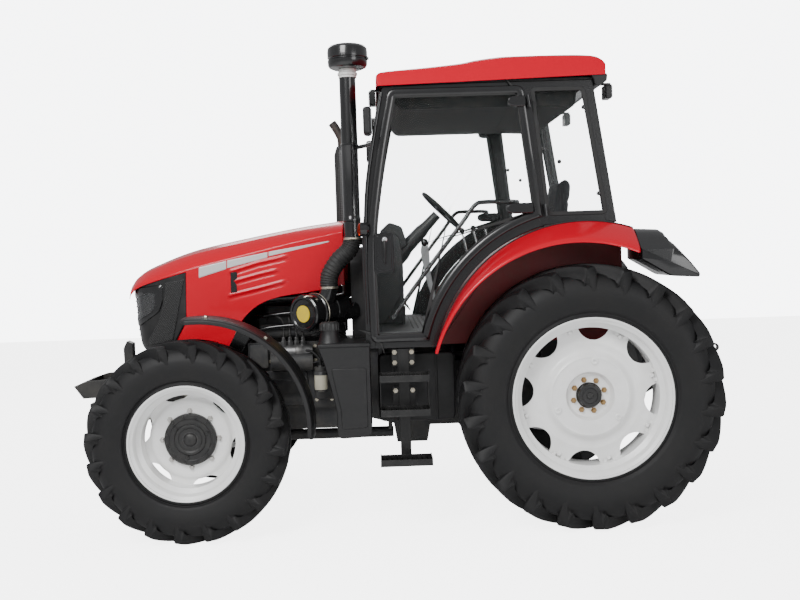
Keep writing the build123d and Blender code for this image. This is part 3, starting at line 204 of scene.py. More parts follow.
def finish_piece(name, mesh, body, finish, replaces=(), sharp=35, wall=0.0, bevel=0.0):
    """Merges coincident points, turns the faces outward, shades the mesh smooth up to the
    sharp angle, gives it its wall and rounded edges, its material, and its body."""
    shape = bmesh.new()
    shape.from_mesh(mesh)
    bmesh.ops.remove_doubles(shape, verts=shape.verts, dist=2e-5)
    bmesh.ops.recalc_face_normals(shape, faces=shape.faces)
    shape.to_mesh(mesh)
    shape.free()
    mesh.shade_smooth()
    mesh.set_sharp_from_angle(angle=radians(sharp))
    mesh.materials.append(finish)
    piece = bpy.data.objects.new(name, mesh)
    bpy.context.collection.objects.link(piece)
    if wall:
        shell = piece.modifiers.new("wall", "SOLIDIFY")
        shell.thickness, shell.offset = wall, -1
        shell.use_even_offset = False
    if bevel:
        edge = piece.modifiers.new("edge", "BEVEL")
        edge.width, edge.segments, edge.limit_method = bevel, 2, "ANGLE"
        edge.angle_limit = radians(40)
        edge.harden_normals = False
    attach(piece, body)
    for node in replaces:
        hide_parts(node)


# Grime group: noise at two scales gives a mask, which lightens the colour towards dust,
# roughens it, and gives a height for the bump.
grime = bpy.data.node_groups.new("grime", "ShaderNodeTree")
for socket, kind, value in (("Colour", "NodeSocketColor", (0.5, 0.5, 0.5, 1)),
                            ("Dust Colour", "NodeSocketColor", (0.2, 0.17, 0.13, 1)),
                            ("Dust", "NodeSocketFloat", 0.2), ("Scale", "NodeSocketFloat", 8.0),
                            ("Roughness", "NodeSocketFloat", 0.5)):
    grime.interface.new_socket(socket, in_out="INPUT", socket_type=kind).default_value = value
for socket, kind in (("Colour", "NodeSocketColor"), ("Roughness", "NodeSocketFloat"),
                     ("Height", "NodeSocketFloat")):
    grime.interface.new_socket(socket, in_out="OUTPUT", socket_type=kind)
inlet, outlet = grime.nodes.new("NodeGroupInput"), grime.nodes.new("NodeGroupOutput")
where = node(grime, "ShaderNodeTexCoord")
broad = node(grime, "ShaderNodeTexNoise", Detail=5.0, Roughness=0.62)
fine = node(grime, "ShaderNodeTexNoise", Scale=420.0, Detail=3.0)
cut = node(grime, "ShaderNodeMapRange", From_Min=0.42, From_Max=0.75)
amount = node(grime, "ShaderNodeMath", operation="MULTIPLY")
blend = node(grime, "ShaderNodeMix", data_type="RGBA")
rough = node(grime, "ShaderNodeMath", operation="MULTIPLY_ADD")
rough.inputs[1].default_value = 0.35
# The blend node's colour sockets share their names with others, so they go by number.
join(grime, (where, "Object", broad, "Vector"), (where, "Object", fine, "Vector"),
     (inlet, "Scale", broad, "Scale"), (broad, "Fac", cut, "Value"), (cut, "Result", amount, 0),
     (inlet, "Dust", amount, 1), (amount, 0, blend, "Factor"), (inlet, "Colour", blend, 6),
     (inlet, "Dust Colour", blend, 7), (amount, 0, rough, 0), (inlet, "Roughness", rough, 2),
     (blend, 2, outlet, "Colour"), (rough, 0, outlet, "Roughness"), (fine, "Fac", outlet, "Height"))


def coated(name, colour, roughness, dust=0.15, dust_colour=(0.22, 0.19, 0.15), scale=6.0,
           bump=0.05, coat=0.0, metallic=0.0, grain=0.0006, shine=0.5):
    """A paint, plastic, rubber or metal finish: its colour and roughness pass through the
    grime group, whose fine noise feeds a bump; coat and metallic are plain values."""
    made, tree, skin = shader(name)
    dirt = node(tree, "ShaderNodeGroup", node_tree=grime)
    set_inputs(dirt, Colour=(*colour, 1), Dust_Colour=(*dust_colour, 1), Dust=dust, Scale=scale,
               Roughness=roughness)
    relief = node(tree, "ShaderNodeBump", Strength=bump, Distance=grain)
    join(tree, (dirt, "Colour", skin, "Base Color"), (dirt, "Roughness", skin, "Roughness"),
         (dirt, "Height", relief, "Height"), (relief, "Normal", skin, "Normal"))
    set_inputs(skin, Coat_Weight=coat, Coat_Roughness=0.06, Metallic=metallic, Specular_IOR_Level=shine)
    return made


rubber = coated("tyre_rubber", (0.0055, 0.0055, 0.006), 0.55, dust=0.25,
                dust_colour=(0.022, 0.020, 0.018), scale=5.0, bump=0.35, grain=0.0012, shine=0.35)


def tyre(side, name, radius, width, bead_r, rim_width, lugs, centre):
    """The carcass is a closed profile turned round the axle. A lug is a section carried
    along a path that starts past the middle of the tread, slants back to the shoulder and
    runs down the side wall; each row of lugs is that shape turned about the axle."""
    half, lug_h = width / 2, 0.060 * radius
    crown = radius - lug_h
    bead_y = rim_width / 2 - 0.012
    outer = [(bead_y - 0.030, bead_r + 0.002), (bead_y, bead_r + 0.012),
             (bead_y + 0.012, bead_r + 0.030), (bead_y + 0.004, bead_r + 0.044),
             (half * 0.90, bead_r + 0.25 * (crown - bead_r)), (half, bead_r + 0.52 * (crown - bead_r)),
             (half * 0.965, bead_r + 0.74 * (crown - bead_r)),
             (half * 0.80, crown - 0.032 * radius), (half * 0.52, crown - 0.010 * radius),
             (0, crown)]
    shoulder = smooth_line(outer, 44)
    tread = np.vstack([shoulder, (shoulder * (-1, 1))[-2::-1]])
    inner = smooth_line([(-bead_y + 0.03, bead_r + 0.001), (-half * 0.86, bead_r + 0.10),
                         (-half * 0.7, crown - 0.07), (0, crown - 0.05), (half * 0.7, crown - 0.07),
                         (half * 0.86, bead_r + 0.10), (bead_y - 0.03, bead_r + 0.001)], 24)[1:-1]
    profile = np.vstack([tread, inner])
    # Fine rings pressed into the side wall.
    ripple = 0.0012 * np.exp(-((profile[:, 1] - bead_r - 0.06) / 0.004) ** 2)
    ripple += 0.0012 * np.exp(-((profile[:, 1] - crown + 0.115 * radius) / 0.004) ** 2)
    profile[:, 0] += np.sign(profile[:, 0]) * ripple
    carcass = ring_of(profile, centre, 144)

    # Stations of a lug: the ridge's sideways distance and radius, the foot's, the slant round
    # the axle (in radius units), and half the width of the flat top.
    stations = np.array([(-0.085, 0.938, -0.085, 0.925, -0.036, 0.030),
                         (-0.075, 0.996, -0.070, 0.925, -0.032, 0.038),
                         (0.020, 1.000, 0.020, 0.925, 0.005, 0.040),
                         (0.300, 0.999, 0.290, 0.920, 0.118, 0.038),
                         (0.580, 0.995, 0.560, 0.912, 0.225, 0.039),
                         (0.800, 0.987, 0.760, 0.895, 0.300, 0.043),
                         (0.930, 0.979, 0.840, 0.880, 0.334, 0.047),
                         (0.975, 0.972, 0.850, 0.860, 0.346, 0.048),
                         (0.992, 0.958, 0.860, 0.850, 0.351, 0.046),
                         (1.000, 0.905, 0.870, 0.840, 0.360, 0.038),
                         (1.006, 0.850, 0.880, 0.810, 0.368, 0.028),
                         (1.004, 0.800, 0.900, 0.780, 0.374, 0.017),
                         (0.975, 0.755, 0.900, 0.750, 0.378, 0.006)])
    stations = np.stack([np.interp(np.linspace(0, len(stations) - 1, 25), np.arange(len(stations)), column)
                         for column in stations.T], -1)
    ridge_y, ridge_r, foot_y, foot_r, back, half_top = stations.T
    ridge = points_at(ridge_y * half, back * radius, ridge_r * radius)
    foot = points_at(foot_y * half, back * radius, foot_r * radius)
    along = np.gradient(ridge, axis=0)
    across = np.cross(along, ridge - foot)
    across /= np.linalg.norm(across, axis=1)[:, None]
    # The section widens from its top to its foot, with a small chamfer along the top.
    wide = np.array([-1.55, -1.12, -1.0, -0.86, 0.86, 1.0, 1.12, 1.55])[None, :, None]
    wide = wide * half_top[:, None, None] * radius
    rise = np.array([0.0, 0.55, 0.93, 1.0, 1.0, 0.93, 0.55, 0.0])[None, :, None]
    lug = foot[:, None] + (ridge - foot)[:, None] * rise + across[:, None] * wide
    y, around, r = lug[..., 0], lug[..., 1] / radius, np.minimum(lug[..., 2], radius - 0.0005)
    rows = []
    for row in (-1, 1):
        step = 2 * pi / lugs
        turn = (np.arange(lugs) + (0.25 if row == 1 else -0.25)) * step
        angle = turn[:, None, None] + around
        rows.append((points_at(centre[0] + r * np.cos(angle), centre[1] + row * y,
                               centre[2] + r * np.sin(angle)), False, True))
    surface(f"{name}_{side}_rubber", f"{name.split('_')[0]}_wheel_{side}", rubber, (carcass, True, True),
            *rows, replaces=(f"{name}_{side}",), sharp=38, slot="tyre")


# X of the rear axle, which later sections count X from.
rear_x = -1.0775
wheel_places = {"rear": (rear_x, 0.8, 0.752), "front": (1.2025, 0.8, 0.572)}
for side, hand in sides:
    for name, radius, width, bead_r, rim_width, lugs in (
            ("rear_tyre", 0.752, 0.380, 0.432, 0.330, 22), ("front_tyre", 0.572, 0.315, 0.305, 0.270, 20)):
        x, y, z = wheel_places[name.split("_")[0]]
        tyre(side, name, radius, width, bead_r, rim_width, lugs, (x, hand * y, z))


# ---- Rims ----------------------------------------------------------------------------
# Rolled steel barrels with two flanges and a drop centre, and pressed discs whose edges are
# scalloped between the lobes that are clamped to the barrel. White paint, bolts left bare.
wheel_white = coated("wheel_white", (0.90, 0.90, 0.89), 0.30, dust=0.22,
                     dust_colour=(0.52, 0.50, 0.46), scale=7.0, bump=0.08, coat=0.25)
bare_bolt = coated("bare_bolt", (0.55, 0.54, 0.52), 0.30, dust=0.4, dust_colour=(0.30, 0.26, 0.20),
                   scale=60.0, metallic=1.0, bump=0.1)
brass_bolt = coated("passivated_bolt", (0.42, 0.27, 0.12), 0.35, dust=0.5,
                    dust_colour=(0.16, 0.10, 0.05), scale=60.0, metallic=0.9, bump=0.1)


def studs(places, profile, count, hand):
    """Small turned pieces at many places, as a grid for surface: the profile (outward
    distance, radius) is carried round a line along Y through each place. A count of six
    sides makes a bolt head."""
    places, profile = np.asarray(places, float), np.asarray(profile, float)
    turn = np.arange(count) / count * 2 * pi
    y, r = profile[None, :, 0, None], profile[None, :, 1, None]
    x0, y0, z0 = (places[:, k, None, None] for k in range(3))
    return points_at(x0 + r * np.cos(turn), y0 + hand * y, z0 + r * np.sin(turn)), False, True


def circle_places(centre, radius, count, start, y):
    """Places evenly round a circle about a wheel's axle, at one outward distance."""
    turn = radians(start) + np.arange(count) / count * 2 * pi
    return points_at(centre[0] + radius * np.cos(turn), y, centre[2] + radius * np.sin(turn))


def hex_head(across, height):
    """Profile of a washer with a chamfered head on it."""
    return [(0, 0), (0, 0.72 * across), (0.0025, 0.72 * across), (0.0025, 0.5 * across),
            (height - 0.003, 0.5 * across), (height, 0.42 * across), (height, 0)]


def pressed_wheel(side, name, centre, hand, bead_r, half, dish, hole_r, fixed_r, lobe_r, count,
                  first, depth, spread, plate=0.010):
    """The barrel is a closed profile turned round the axle. The disc is a polar grid: its
    rows keep their radius up to fixed_r, and from there they stretch to the outline, which
    is the lobe radius less half an ellipse at each opening."""
    barrel = [(half, bead_r + 0.020), (half - 0.003, bead_r + 0.024), (half - 0.009, bead_r + 0.021),
              (half - 0.014, bead_r + 0.004), (half - 0.020, bead_r), (half - 0.062, bead_r - 0.004),
              (half - 0.080, bead_r - 0.030), (-half + 0.080, bead_r - 0.030),
              (-half + 0.062, bead_r - 0.004), (-half + 0.020, bead_r), (-half + 0.014, bead_r + 0.004),
              (-half + 0.009, bead_r + 0.021), (-half + 0.003, bead_r + 0.024), (-half, bead_r + 0.020)]
    inside = [(y - np.sign(y) * 0.004, r - 0.009) for y, r in barrel[::-1]]
    ring = ring_of([(hand * y, r) for y, r in barrel + inside], centre, 128)
    columns = count * 32
    turn = np.arange(columns) / columns * 2 * pi
    gap = (turn - radians(first) + pi / count) % (2 * pi / count) - pi / count
    edge = lobe_r - depth * np.sqrt(np.maximum(0, 1 - (gap / radians(spread)) ** 2))
    near = np.linspace(hole_r, fixed_r, 34)
    share = np.linspace(0, 1, 7)[1:]
    r = np.vstack([np.repeat(near[:, None], columns, 1), fixed_r + (edge - fixed_r) * share[:, None]])
    table = np.asarray(dish, float)
    y = np.interp(r, table[:, 0], table[:, 1])
    r = np.vstack([r, r[::-1]])
    y = np.vstack([y, (y - plate)[::-1]])
    disc = points_at(centre[0] + r * np.cos(turn), centre[1] + hand * y, centre[2] + r * np.sin(turn))
    surface(f"{name}_{side}_steel", f"{name.split('_')[0]}_wheel_{side}", wheel_white,
            (ring, True, True), (disc, True, True), replaces=(f"{name}_{side}",), sharp=40,
            slot="wheel_white")


for side, hand in sides:
    # Rear: eight lobes held by clamps, a raised middle with three bosses, a sunk bolt face.
    x, y, z = wheel_places["rear"]
    centre = (x, hand * y, z)
    pressed_wheel(side, "rear_rim", centre, hand, 0.432, 0.165,
                  [(0, 0.020), (0.120, 0.020), (0.127, 0.024), (0.136, 0.060), (0.142, 0.064),
                   (0.212, 0.064), (0.222, 0.068), (0.232, 0.062), (0.246, 0.044), (0.262, 0.032),
                   (0.288, 0.030), (0.300, 0.034), (0.315, 0.030), (0.34, 0.024), (0.43, 0.018)],
                  0.05, 0.318, 0.405, 8, 5, 0.088, 13.5)
    body = f"rear_wheel_{side}"
    surface(f"rear_wheel_bolts_{side}", body, brass_bolt,
            studs(circle_places(centre, 0.092, 8, 28, centre[1] + hand * 0.020), hex_head(0.024, 0.017), 6,
                   hand), slot="zinc")
    surface(f"rear_rim_clamp_bolts_{side}", body, wheel_white,
            studs(circle_places(centre, 0.375, 8, 29, centre[1] + hand * 0.022), hex_head(0.024, 0.018), 6,
                   hand), slot="wheel_white")
    surface(f"rear_disc_bosses_{side}", body, wheel_white,
            studs(circle_places(centre, 0.200, 3, 98, centre[1] + hand * 0.062),
                   [(0, 0.022), (0.010, 0.020), (0.013, 0.016), (0.013, 0.010), (0.004, 0.008), (0.004, 0)],
                   24, hand), slot="wheel_white")
    # Clamp ears welded inside the barrel, two beside each lobe bolt.
    turn = radians(29) + np.arange(8) * pi / 4
    ears = []
    for spread in (-1, 1):
        u = np.linspace(0, 1, 6)
        reach = 0.428 - 0.052 * u
        lean = turn[:, None] + spread * (0.085 - 0.02 * u)
        width = 0.026 * (1 - 0.45 * u ** 2)
        rows = []
        for across, out in ((-0.5, 0.002), (-0.5, 0.012), (0.5, 0.012), (0.5, 0.002)):
            rows.append(points_at(centre[0] + reach * np.cos(lean) - across * width * np.sin(lean),
                                  centre[1] + hand * (0.030 + out),
                                  centre[2] + reach * np.sin(lean) + across * width * np.cos(lean)))
        ears.append((np.stack(rows, 2), False, True))
    surface(f"rear_rim_ears_{side}", body, wheel_white, *ears, slot="wheel_white")
    # Front: a disc set far in, with six lobes and eight bare bolts.
    x, y, z = wheel_places["front"]
    centre = (x, hand * y, z)
    pressed_wheel(side, "front_rim", centre, hand, 0.305, 0.135,
                  [(0, -0.033), (0.178, -0.033), (0.190, -0.030), (0.205, -0.026), (0.220, -0.030),
                   (0.238, -0.045), (0.30, -0.047)], 0.06, 0.236, 0.282, 6, 14, 0.052, 17)
    surface(f"front_wheel_bolts_{side}", f"front_wheel_{side}", bare_bolt,
            studs(circle_places(centre, 0.162, 8, 0, centre[1] - hand * 0.033), hex_head(0.024, 0.018), 6,
                   hand), slot="zinc")

# ---- Hubs ----------------------------------------------------------------------------
# Turned iron hubs painted black. The front one is a planetary hub: a stepped cap with plain
# raised rings, a ring of small cover screws and a plug.
hub_black = coated("hub_black", (0.012, 0.012, 0.012), 0.38, dust=0.25, dust_colour=(0.05, 0.045, 0.04),
                   scale=18.0, bump=0.5, grain=0.0012)
for side, hand in sides:
    x, y, z = wheel_places["front"]
    centre = (x, hand * y, z)
    cap = [(-0.047, 0.055), (-0.047, 0.0595), (-0.033, 0.0595), (-0.033, 0.148), (-0.026, 0.150),
           (-0.010, 0.147), (-0.004, 0.140), (-0.004, 0.122), (-0.009, 0.116), (-0.009, 0.092),
           (-0.002, 0.086), (0.000, 0.078), (-0.002, 0.070), (-0.008, 0.064), (-0.008, 0.040),
           (0.002, 0.034), (0.006, 0.028), (0.008, 0.0)]
    surface(f"front_hub_cap_{side}", f"front_wheel_{side}", hub_black,
            (ring_of([(hand * a, r) for a, r in cap], centre, 72), False, True),
            replaces=(f"front_hub_{side}",), sharp=32, slot="hub_black")
    surface(f"front_hub_screws_{side}", f"front_wheel_{side}", hub_black,
            studs(circle_places(centre, 0.131, 12, 15, centre[1] - hand * 0.004), hex_head(0.012, 0.008), 6,
                   hand),
            studs(circle_places(centre, 0.102, 3, 40, centre[1] - hand * 0.009), hex_head(0.017, 0.010), 6,
                   hand), slot="hub_black")
    x, y, z = wheel_places["rear"]
    centre = (x, hand * y, z)
    cap = [(0.004, 0.046), (0.004, 0.0495), (0.020, 0.0495), (0.020, 0.074), (0.026, 0.074), (0.026, 0.068),
           (0.054, 0.066), (0.060, 0.062), (0.060, 0.045), (0.054, 0.042), (0.052, 0.020), (0.056, 0.016),
           (0.058, 0.0)]
    surface(f"rear_hub_cap_{side}", f"rear_wheel_{side}", hub_black,
            (ring_of([(hand * a, r) for a, r in cap], centre, 64), False, True),
            replaces=(f"rear_hub_{side}",), sharp=32, slot="hub_black")

# ---- Hood ----------------------------------------------------------------------------
# One painted steel pressing per side and one over the top, welded along a rounded shoulder:
# smooth, with two pressed ribs and an air slot in each side, and pale stripes below the
# shoulder. It turns on two eyes at its rear edge.
hood_red = coated("hood_red", (0.60, 0.0008, 0.016), 0.24, dust=0.06, dust_colour=(0.40, 0.02, 0.025),
                  scale=3.0, bump=0.03, coat=0.22, shine=0.22)
stripe_grey = coated("stripe_grey", (0.62, 0.62, 0.62), 0.30, dust=0.1, scale=9.0, coat=0.6, bump=0.02)
gloss_black = coated("gloss_black", (0.004, 0.004, 0.0045), 0.22, dust=0.08, dust_colour=(0.03, 0.03, 0.03),
                     scale=8.0, coat=0.5, bump=0.04)


def along_table(x, table, column):
    """Value of one column of a table at x, on a smooth curve through its rows."""
    line = smooth_line(table, 400)
    return np.interp(x, line[:, 0], line[:, column])


def patch(corners, rows, columns):
    """Grid between four corners (bottom rear, bottom front, top front, top rear): straight
    between them both ways."""
    a, b, c, d = (np.asarray(corner, float) for corner in corners)
    u = np.linspace(0, 1, columns)[None, :, None]
    v = np.linspace(0, 1, rows)[:, None, None]
    return (a * (1 - u) + b * u) * (1 - v) + (d * (1 - u) + c * u) * v


# Columns: distance ahead of the rear axle, half width, height of the shoulder's crease, half
# width and height where the top starts, height of the top.
hood_table = np.array([(1.385, 0.360, 1.742, 0.285, 1.786, 1.811), (1.670, 0.362, 1.688, 0.288, 1.748, 1.776),
                       (1.960, 0.362, 1.624, 0.290, 1.696, 1.726), (2.320, 0.358, 1.543, 0.285, 1.621, 1.654),
                       (2.560, 0.335, 1.480, 0.262, 1.541, 1.571), (2.660, 0.300, 1.444, 0.232, 1.494, 1.518),
                       (2.711, 0.255, 1.405, 0.200, 1.438, 1.455)])
hood_low = np.array([(1.385, 1.413), (1.424, 1.407), (1.526, 1.385), (1.618, 1.372), (1.709, 1.362),
                     (1.781, 1.352), (1.852, 1.334), (1.914, 1.306), (1.956, 1.277), (1.998, 1.237),
                     (2.030, 1.198), (2.062, 1.140), (2.085, 1.077), (2.096, 1.056), (2.250, 1.076),
                     (2.430, 1.098)])
ribs = (((1.764, 1.522), (1.900, 1.494), (2.054, 1.456)), ((1.721, 1.452), (1.950, 1.399), (2.083, 1.371)),
        ((1.700, 1.603), (1.903, 1.564), (2.070, 1.517)))


def hood_side(x, z):
    """Sideways distance of the side panel at (x, z): the half width there, drawn in a little
    towards the bottom, and pushed out by a rounded ridge along each rib."""
    crease = along_table(x, hood_table, 2)
    y = along_table(x, hood_table, 1) - 0.012 * np.clip((crease - z) / 0.45, 0, 1) ** 2
    for rib in ribs:
        rib = np.asarray(rib)
        away = z - np.interp(x, rib[:, 0], rib[:, 1])
        ends = np.clip((x - rib[0, 0]) / 0.05, 0, 1) * np.clip((rib[-1, 0] - x) / 0.02 + 1, 0, 1)
        y = y + 0.006 * ends * np.exp(-(away / 0.010) ** 2)
        y = y - 0.004 * ends * np.exp(-((away + 0.020) / 0.012) ** 2)
    return y


round_r = 0.012
u = np.linspace(0, 1, 190)[:, None]
v = np.linspace(0, 1, 90)[None, :]
front_edge = np.interp(v, [0, 0.27, 0.37, 1], [2.428, 2.360, 2.354, 2.345])
x = 1.385 + u * (front_edge - 1.385)
top = along_table(x, hood_table, 2) - round_r
low = np.interp(x, hood_low[:, 0], hood_low[:, 1])
z = low + v * (top - low)
side_left = points_at(x + rear_x, hood_side(x, z), z)
# The top: rows along x, columns over the crease, the chamfer and the crown.
x = np.concatenate([1.385 + u[:, 0] * 0.960, np.linspace(2.345, 2.711, 70)[1:]])
half, crease, shoulder_y, shoulder_z, crown = (
    along_table(x, hood_table, k)[:, None] for k in (1, 2, 3, 4, 5))
t = np.linspace(0, 1, 9)[None, :]
lean = np.hypot(half - shoulder_y, shoulder_z - crease)
on_y, on_z = (shoulder_y - half) / lean, (shoulder_z - crease) / lean
corner_y = (1 - t) ** 2 * half + 2 * t * (1 - t) * half + t ** 2 * (half + on_y * round_r * 2.4)
corner_z = ((1 - t) ** 2 * (crease - round_r) + 2 * t * (1 - t) * crease
            + t ** 2 * (crease + on_z * round_r * 2.4))
arc_y = np.linspace(1, -1, 41)[None, :] * shoulder_y
arc_z = crown - (crown - shoulder_z) * (arc_y / shoulder_y) ** 2
y = np.hstack([corner_y, arc_y, -corner_y[:, ::-1]])
z = np.hstack([corner_z, arc_z, corner_z[:, ::-1]])
top_grid = points_at(x[:, None] + rear_x, y, z)
lip = []
for hand in (1, -1):
    edge = points_at(x + rear_x, hand * half[:, 0], crease[:, 0] - round_r)[189:]
    down = edge - (0, 0, 0.006)
    lip.append((np.stack([edge, down], 1), False, False))
nose_lip = top_grid[-1][None] + np.linspace(0, 1, 5)[:, None, None] * (0.006, 0, -0.030)
surface("hood_panels", "engine_hood", hood_red, (side_left, False, False),
        (side_left * (1, -1, 1), False, False), (top_grid, False, False), *lip, (nose_lip, False, False),
        replaces=("hood",), sharp=50, wall=0.004, slot="body_red")

stripes = (((2.100, 1.530), (2.268, 1.482), (2.265, 1.546), (2.098, 1.581)),
           ((1.847, 1.593), (2.094, 1.535), (2.092, 1.583), (1.846, 1.626)),
           ((1.470, 1.675), (1.840, 1.600), (1.839, 1.628), (1.469, 1.683)))
grids = []
for hand in (1, -1):
    for corners in stripes:
        flat = patch(corners, 8, 40)
        outward = hand * (hood_side(flat[..., 0], flat[..., 1]) + 0.0012)
        grids.append((points_at(flat[..., 0] + rear_x, outward, flat[..., 1]), False, False))
surface("hood_stripes", "engine_hood", stripe_grey, *grids, sharp=80, wall=0.0008, slot="wheel_white")


def rounded(outline, radius, steps=5, closed=True):
    """Outline with each corner replaced by a quadratic curve that starts and ends one radius
    from the corner, or nearer where the sides are short."""
    p = np.asarray(outline, float)
    before, after = np.roll(p, 1, 0) - p, np.roll(p, -1, 0) - p
    far_b, far_a = np.linalg.norm(before, axis=1)[:, None], np.linalg.norm(after, axis=1)[:, None]
    reach = np.minimum(np.broadcast_to(radius, len(p))[:, None], 0.48 * np.minimum(far_b, far_a))
    if not closed:
        reach[[0, -1]] = 0
    start, end = p + before / far_b * reach, p + after / far_a * reach
    t = np.linspace(0, 1, steps)[None, :, None]
    line = (1 - t) ** 2 * start[:, None] + 2 * t * (1 - t) * p[:, None] + t ** 2 * end[:, None]
    line = line.reshape(-1, p.shape[1])
    keep = np.r_[True, np.linalg.norm(np.diff(line, axis=0), axis=1) > 1e-6]
    return line[keep]


def inset(outline, distance):
    """Closed flat outline moved inward: each corner goes along the mitre of its two sides."""
    p = np.asarray(outline, float)
    edge = np.roll(p, -1, 0) - p
    edge /= np.linalg.norm(edge, axis=1)[:, None]
    after = np.roll(p, -1, 0)
    turn = np.sign(np.sum(p[:, 0] * after[:, 1] - after[:, 0] * p[:, 1]))
    normal = turn * points_at(-edge[:, 1], edge[:, 0])
    other = np.roll(normal, 1, 0)
    return p + distance * (normal + other) / (1 + np.sum(normal * other, axis=1))[:, None]


def prisms(name, body, finish, *shapes, bevel=0.0025, replaces=(), slot=None, sharp=35):
    """Flat outlines carried between two planes, with rounded edges. A shape is (axis, low,
    high, outline); the outline's two columns are the axes left over, in order, and X counts
    from the rear axle."""
    points, faces = [], []
    for axis, low, high, outline in shapes:
        outline = np.asarray(outline, float)
        n, base = len(outline), len(points)
        a, b, c = {"x": (1, 2, 0), "y": (0, 2, 1), "z": (0, 1, 2)}[axis]
        for level in (low, high):
            ring = np.zeros((n, 3))
            ring[:, a], ring[:, b], ring[:, c] = outline[:, 0], outline[:, 1], level
            points.extend(ring + (rear_x, 0, 0))
        faces += [tuple(range(base, base + n)), tuple(range(base + 2 * n - 1, base + n - 1, -1))]
        faces += [(base + k, base + (k + 1) % n, base + n + (k + 1) % n, base + n + k) for k in range(n)]
    mesh = bpy.data.meshes.new(name)
    mesh.from_pydata(points, [], faces)
    finish_piece(name, mesh, body, finish, replaces, sharp, 0.0, bevel)


def slab(hand, low, high, outline):
    """A shape for prisms between two sideways distances, on the side that hand says."""
    return "y", *sorted((hand * low, hand * high)), outline


def box(x0, x1, z0, z1):
    """Outline of an upright rectangle."""
    return [(x0, z0), (x1, z0), (x1, z1), (x0, z1)]


slot_line = [(2.035, 1.511), (2.036, 1.472), (2.054, 1.455), (2.040, 1.432), (2.040, 1.390), (2.076, 1.385),
             (2.075, 1.510)]
slot_y = float(hood_side(2.055, 1.45))
slots = [("y", hand * slot_y - 0.002, hand * slot_y + 0.002, rounded(slot_line, 0.006)) for hand in (1, -1)]
prisms("hood_slots", "engine_hood", gloss_black, *slots, bevel=0.0015, slot="cab_black")


# ---- Nose and grille -----------------------------------------------------------------
# A black moulded nose under the hood's tip: smooth at the bottom, fine textured mesh on its
# sides and front, and a smooth bezel round each lamp.
nose_black = coated("nose_black", (0.006, 0.006, 0.0065), 0.34, dust=0.2, dust_colour=(0.06, 0.055, 0.05),
                    scale=9.0, bump=0.25, grain=0.0008)
nose_plan = np.array([(0, 0.352), (0.3, 0.345), (0.58, 0.327), (0.80, 0.292), (0.92, 0.240), (0.98, 0.16),
                      (1.0, 0.06), (1.0, 0.0)])
nose_rear = np.array([(1.036, 2.452), (1.096, 2.428), (1.215, 2.360), (1.258, 2.354), (1.533, 2.345)])
nose_front = np.array([(1.036, 2.655), (1.093, 2.676), (1.198, 2.688), (1.300, 2.694), (1.380, 2.700),
                       (1.440, 2.706), (1.55, 2.706)])
nose_curve = smooth_line(nose_plan, 60)


def on_nose(x, z, out=0.0):
    """Point of the nose's left side at (x, z): the plan curve, stretched between the rear and
    front edges at that height, and moved outward along its own normal."""
    back, ahead = np.interp(z, *nose_rear.T), np.interp(z, *nose_front.T)
    share = np.clip((x - back) / (ahead - back), 0, 1)
    y = np.interp(share, nose_curve[:, 0], nose_curve[:, 1])
    slope = (np.interp(share + 0.01, nose_curve[:, 0], nose_curve[:, 1]) - y) / (0.01 * (ahead - back))
    length = np.hypot(1, slope)
    return points_at(x - out * slope / length + rear_x, y + out / length, z)


s = np.vstack([nose_curve, nose_curve[-2::-1] * (1, -1)])
v = np.linspace(0, 1, 50)[:, None]
high = np.full((1, len(s)), 1.40)
for _ in range(4):
    z = 1.036 + v * (high - 1.036)
    behind = np.interp(z, *nose_rear.T)
    x = behind + s[None, :, 0] * (np.interp(z, *nose_front.T) - behind)
    high = along_table(x[-1:], hood_table, 2) - 0.014
low_in = np.clip((1.08 - z) / 0.05, 0, 1) ** 2 * 0.02
nose = points_at(x + rear_x - low_in * s[None, :, 0], s[None, :, 1] * (1 - low_in * 0.8), z)
surface("nose_shell", "engine_hood", nose_black, (nose, False, False), replaces=("grille", "headlamps"),
        sharp=50, wall=0.005, slot="cab_black")

# The mesh panels have small raised diamonds, from two crossed rows of waves.
mesh_black, tree, skin = shader("nose_mesh_black")
set_inputs(skin, Roughness=0.42)
where = node(tree, "ShaderNodeTexCoord")
spread = node(tree, "ShaderNodeMapping", Rotation=(0, 0.6, 0))
first = node(tree, "ShaderNodeTexWave", bands_direction="X", Scale=34.0)
second = node(tree, "ShaderNodeTexWave", bands_direction="Z", Scale=34.0)
both = node(tree, "ShaderNodeMath", operation="MULTIPLY")
# The colour rises and falls with the diamonds: darker between them, painted shade in the mesh's hollows.
tint = node(tree, "ShaderNodeMapRange", To_Min=0.004, To_Max=0.035)
relief = node(tree, "ShaderNodeBump", Strength=0.9, Distance=0.003)
join(tree, (where, "Object", spread, "Vector"), (spread, "Vector", first, "Vector"),
     (spread, "Vector", second, "Vector"), (first, "Fac", both, 0), (second, "Fac", both, 1),
     (both, 0, tint, "Value"), (tint, "Result", skin, "Base Color"), (both, 0, relief, "Height"),
     (relief, "Normal", skin, "Normal"))
panel = patch([(2.440, 1.108), (2.618, 1.072), (2.474, 1.462), (2.358, 1.480)], 40, 24)
panel[..., 0] -= 0.03 * np.sin(np.linspace(0, pi, 40))[:, None] * np.linspace(0, 1, 24)[None, :]
x, z = np.maximum(panel[..., 0], np.interp(panel[..., 1], *nose_rear.T) + 0.010), panel[..., 1]
side_mesh = on_nose(x, z, 0.004)
front = patch([(-0.20, 1.11), (0.20, 1.11), (0.15, 1.395), (-0.15, 1.395)], 20, 30)
ahead = np.interp(front[..., 1], *nose_front.T)
bow = 0.35 * np.maximum(0, np.abs(front[..., 0]) - 0.12) ** 2 * 6
front_mesh = points_at(ahead + rear_x + 0.004 - bow, front[..., 0], front[..., 1])
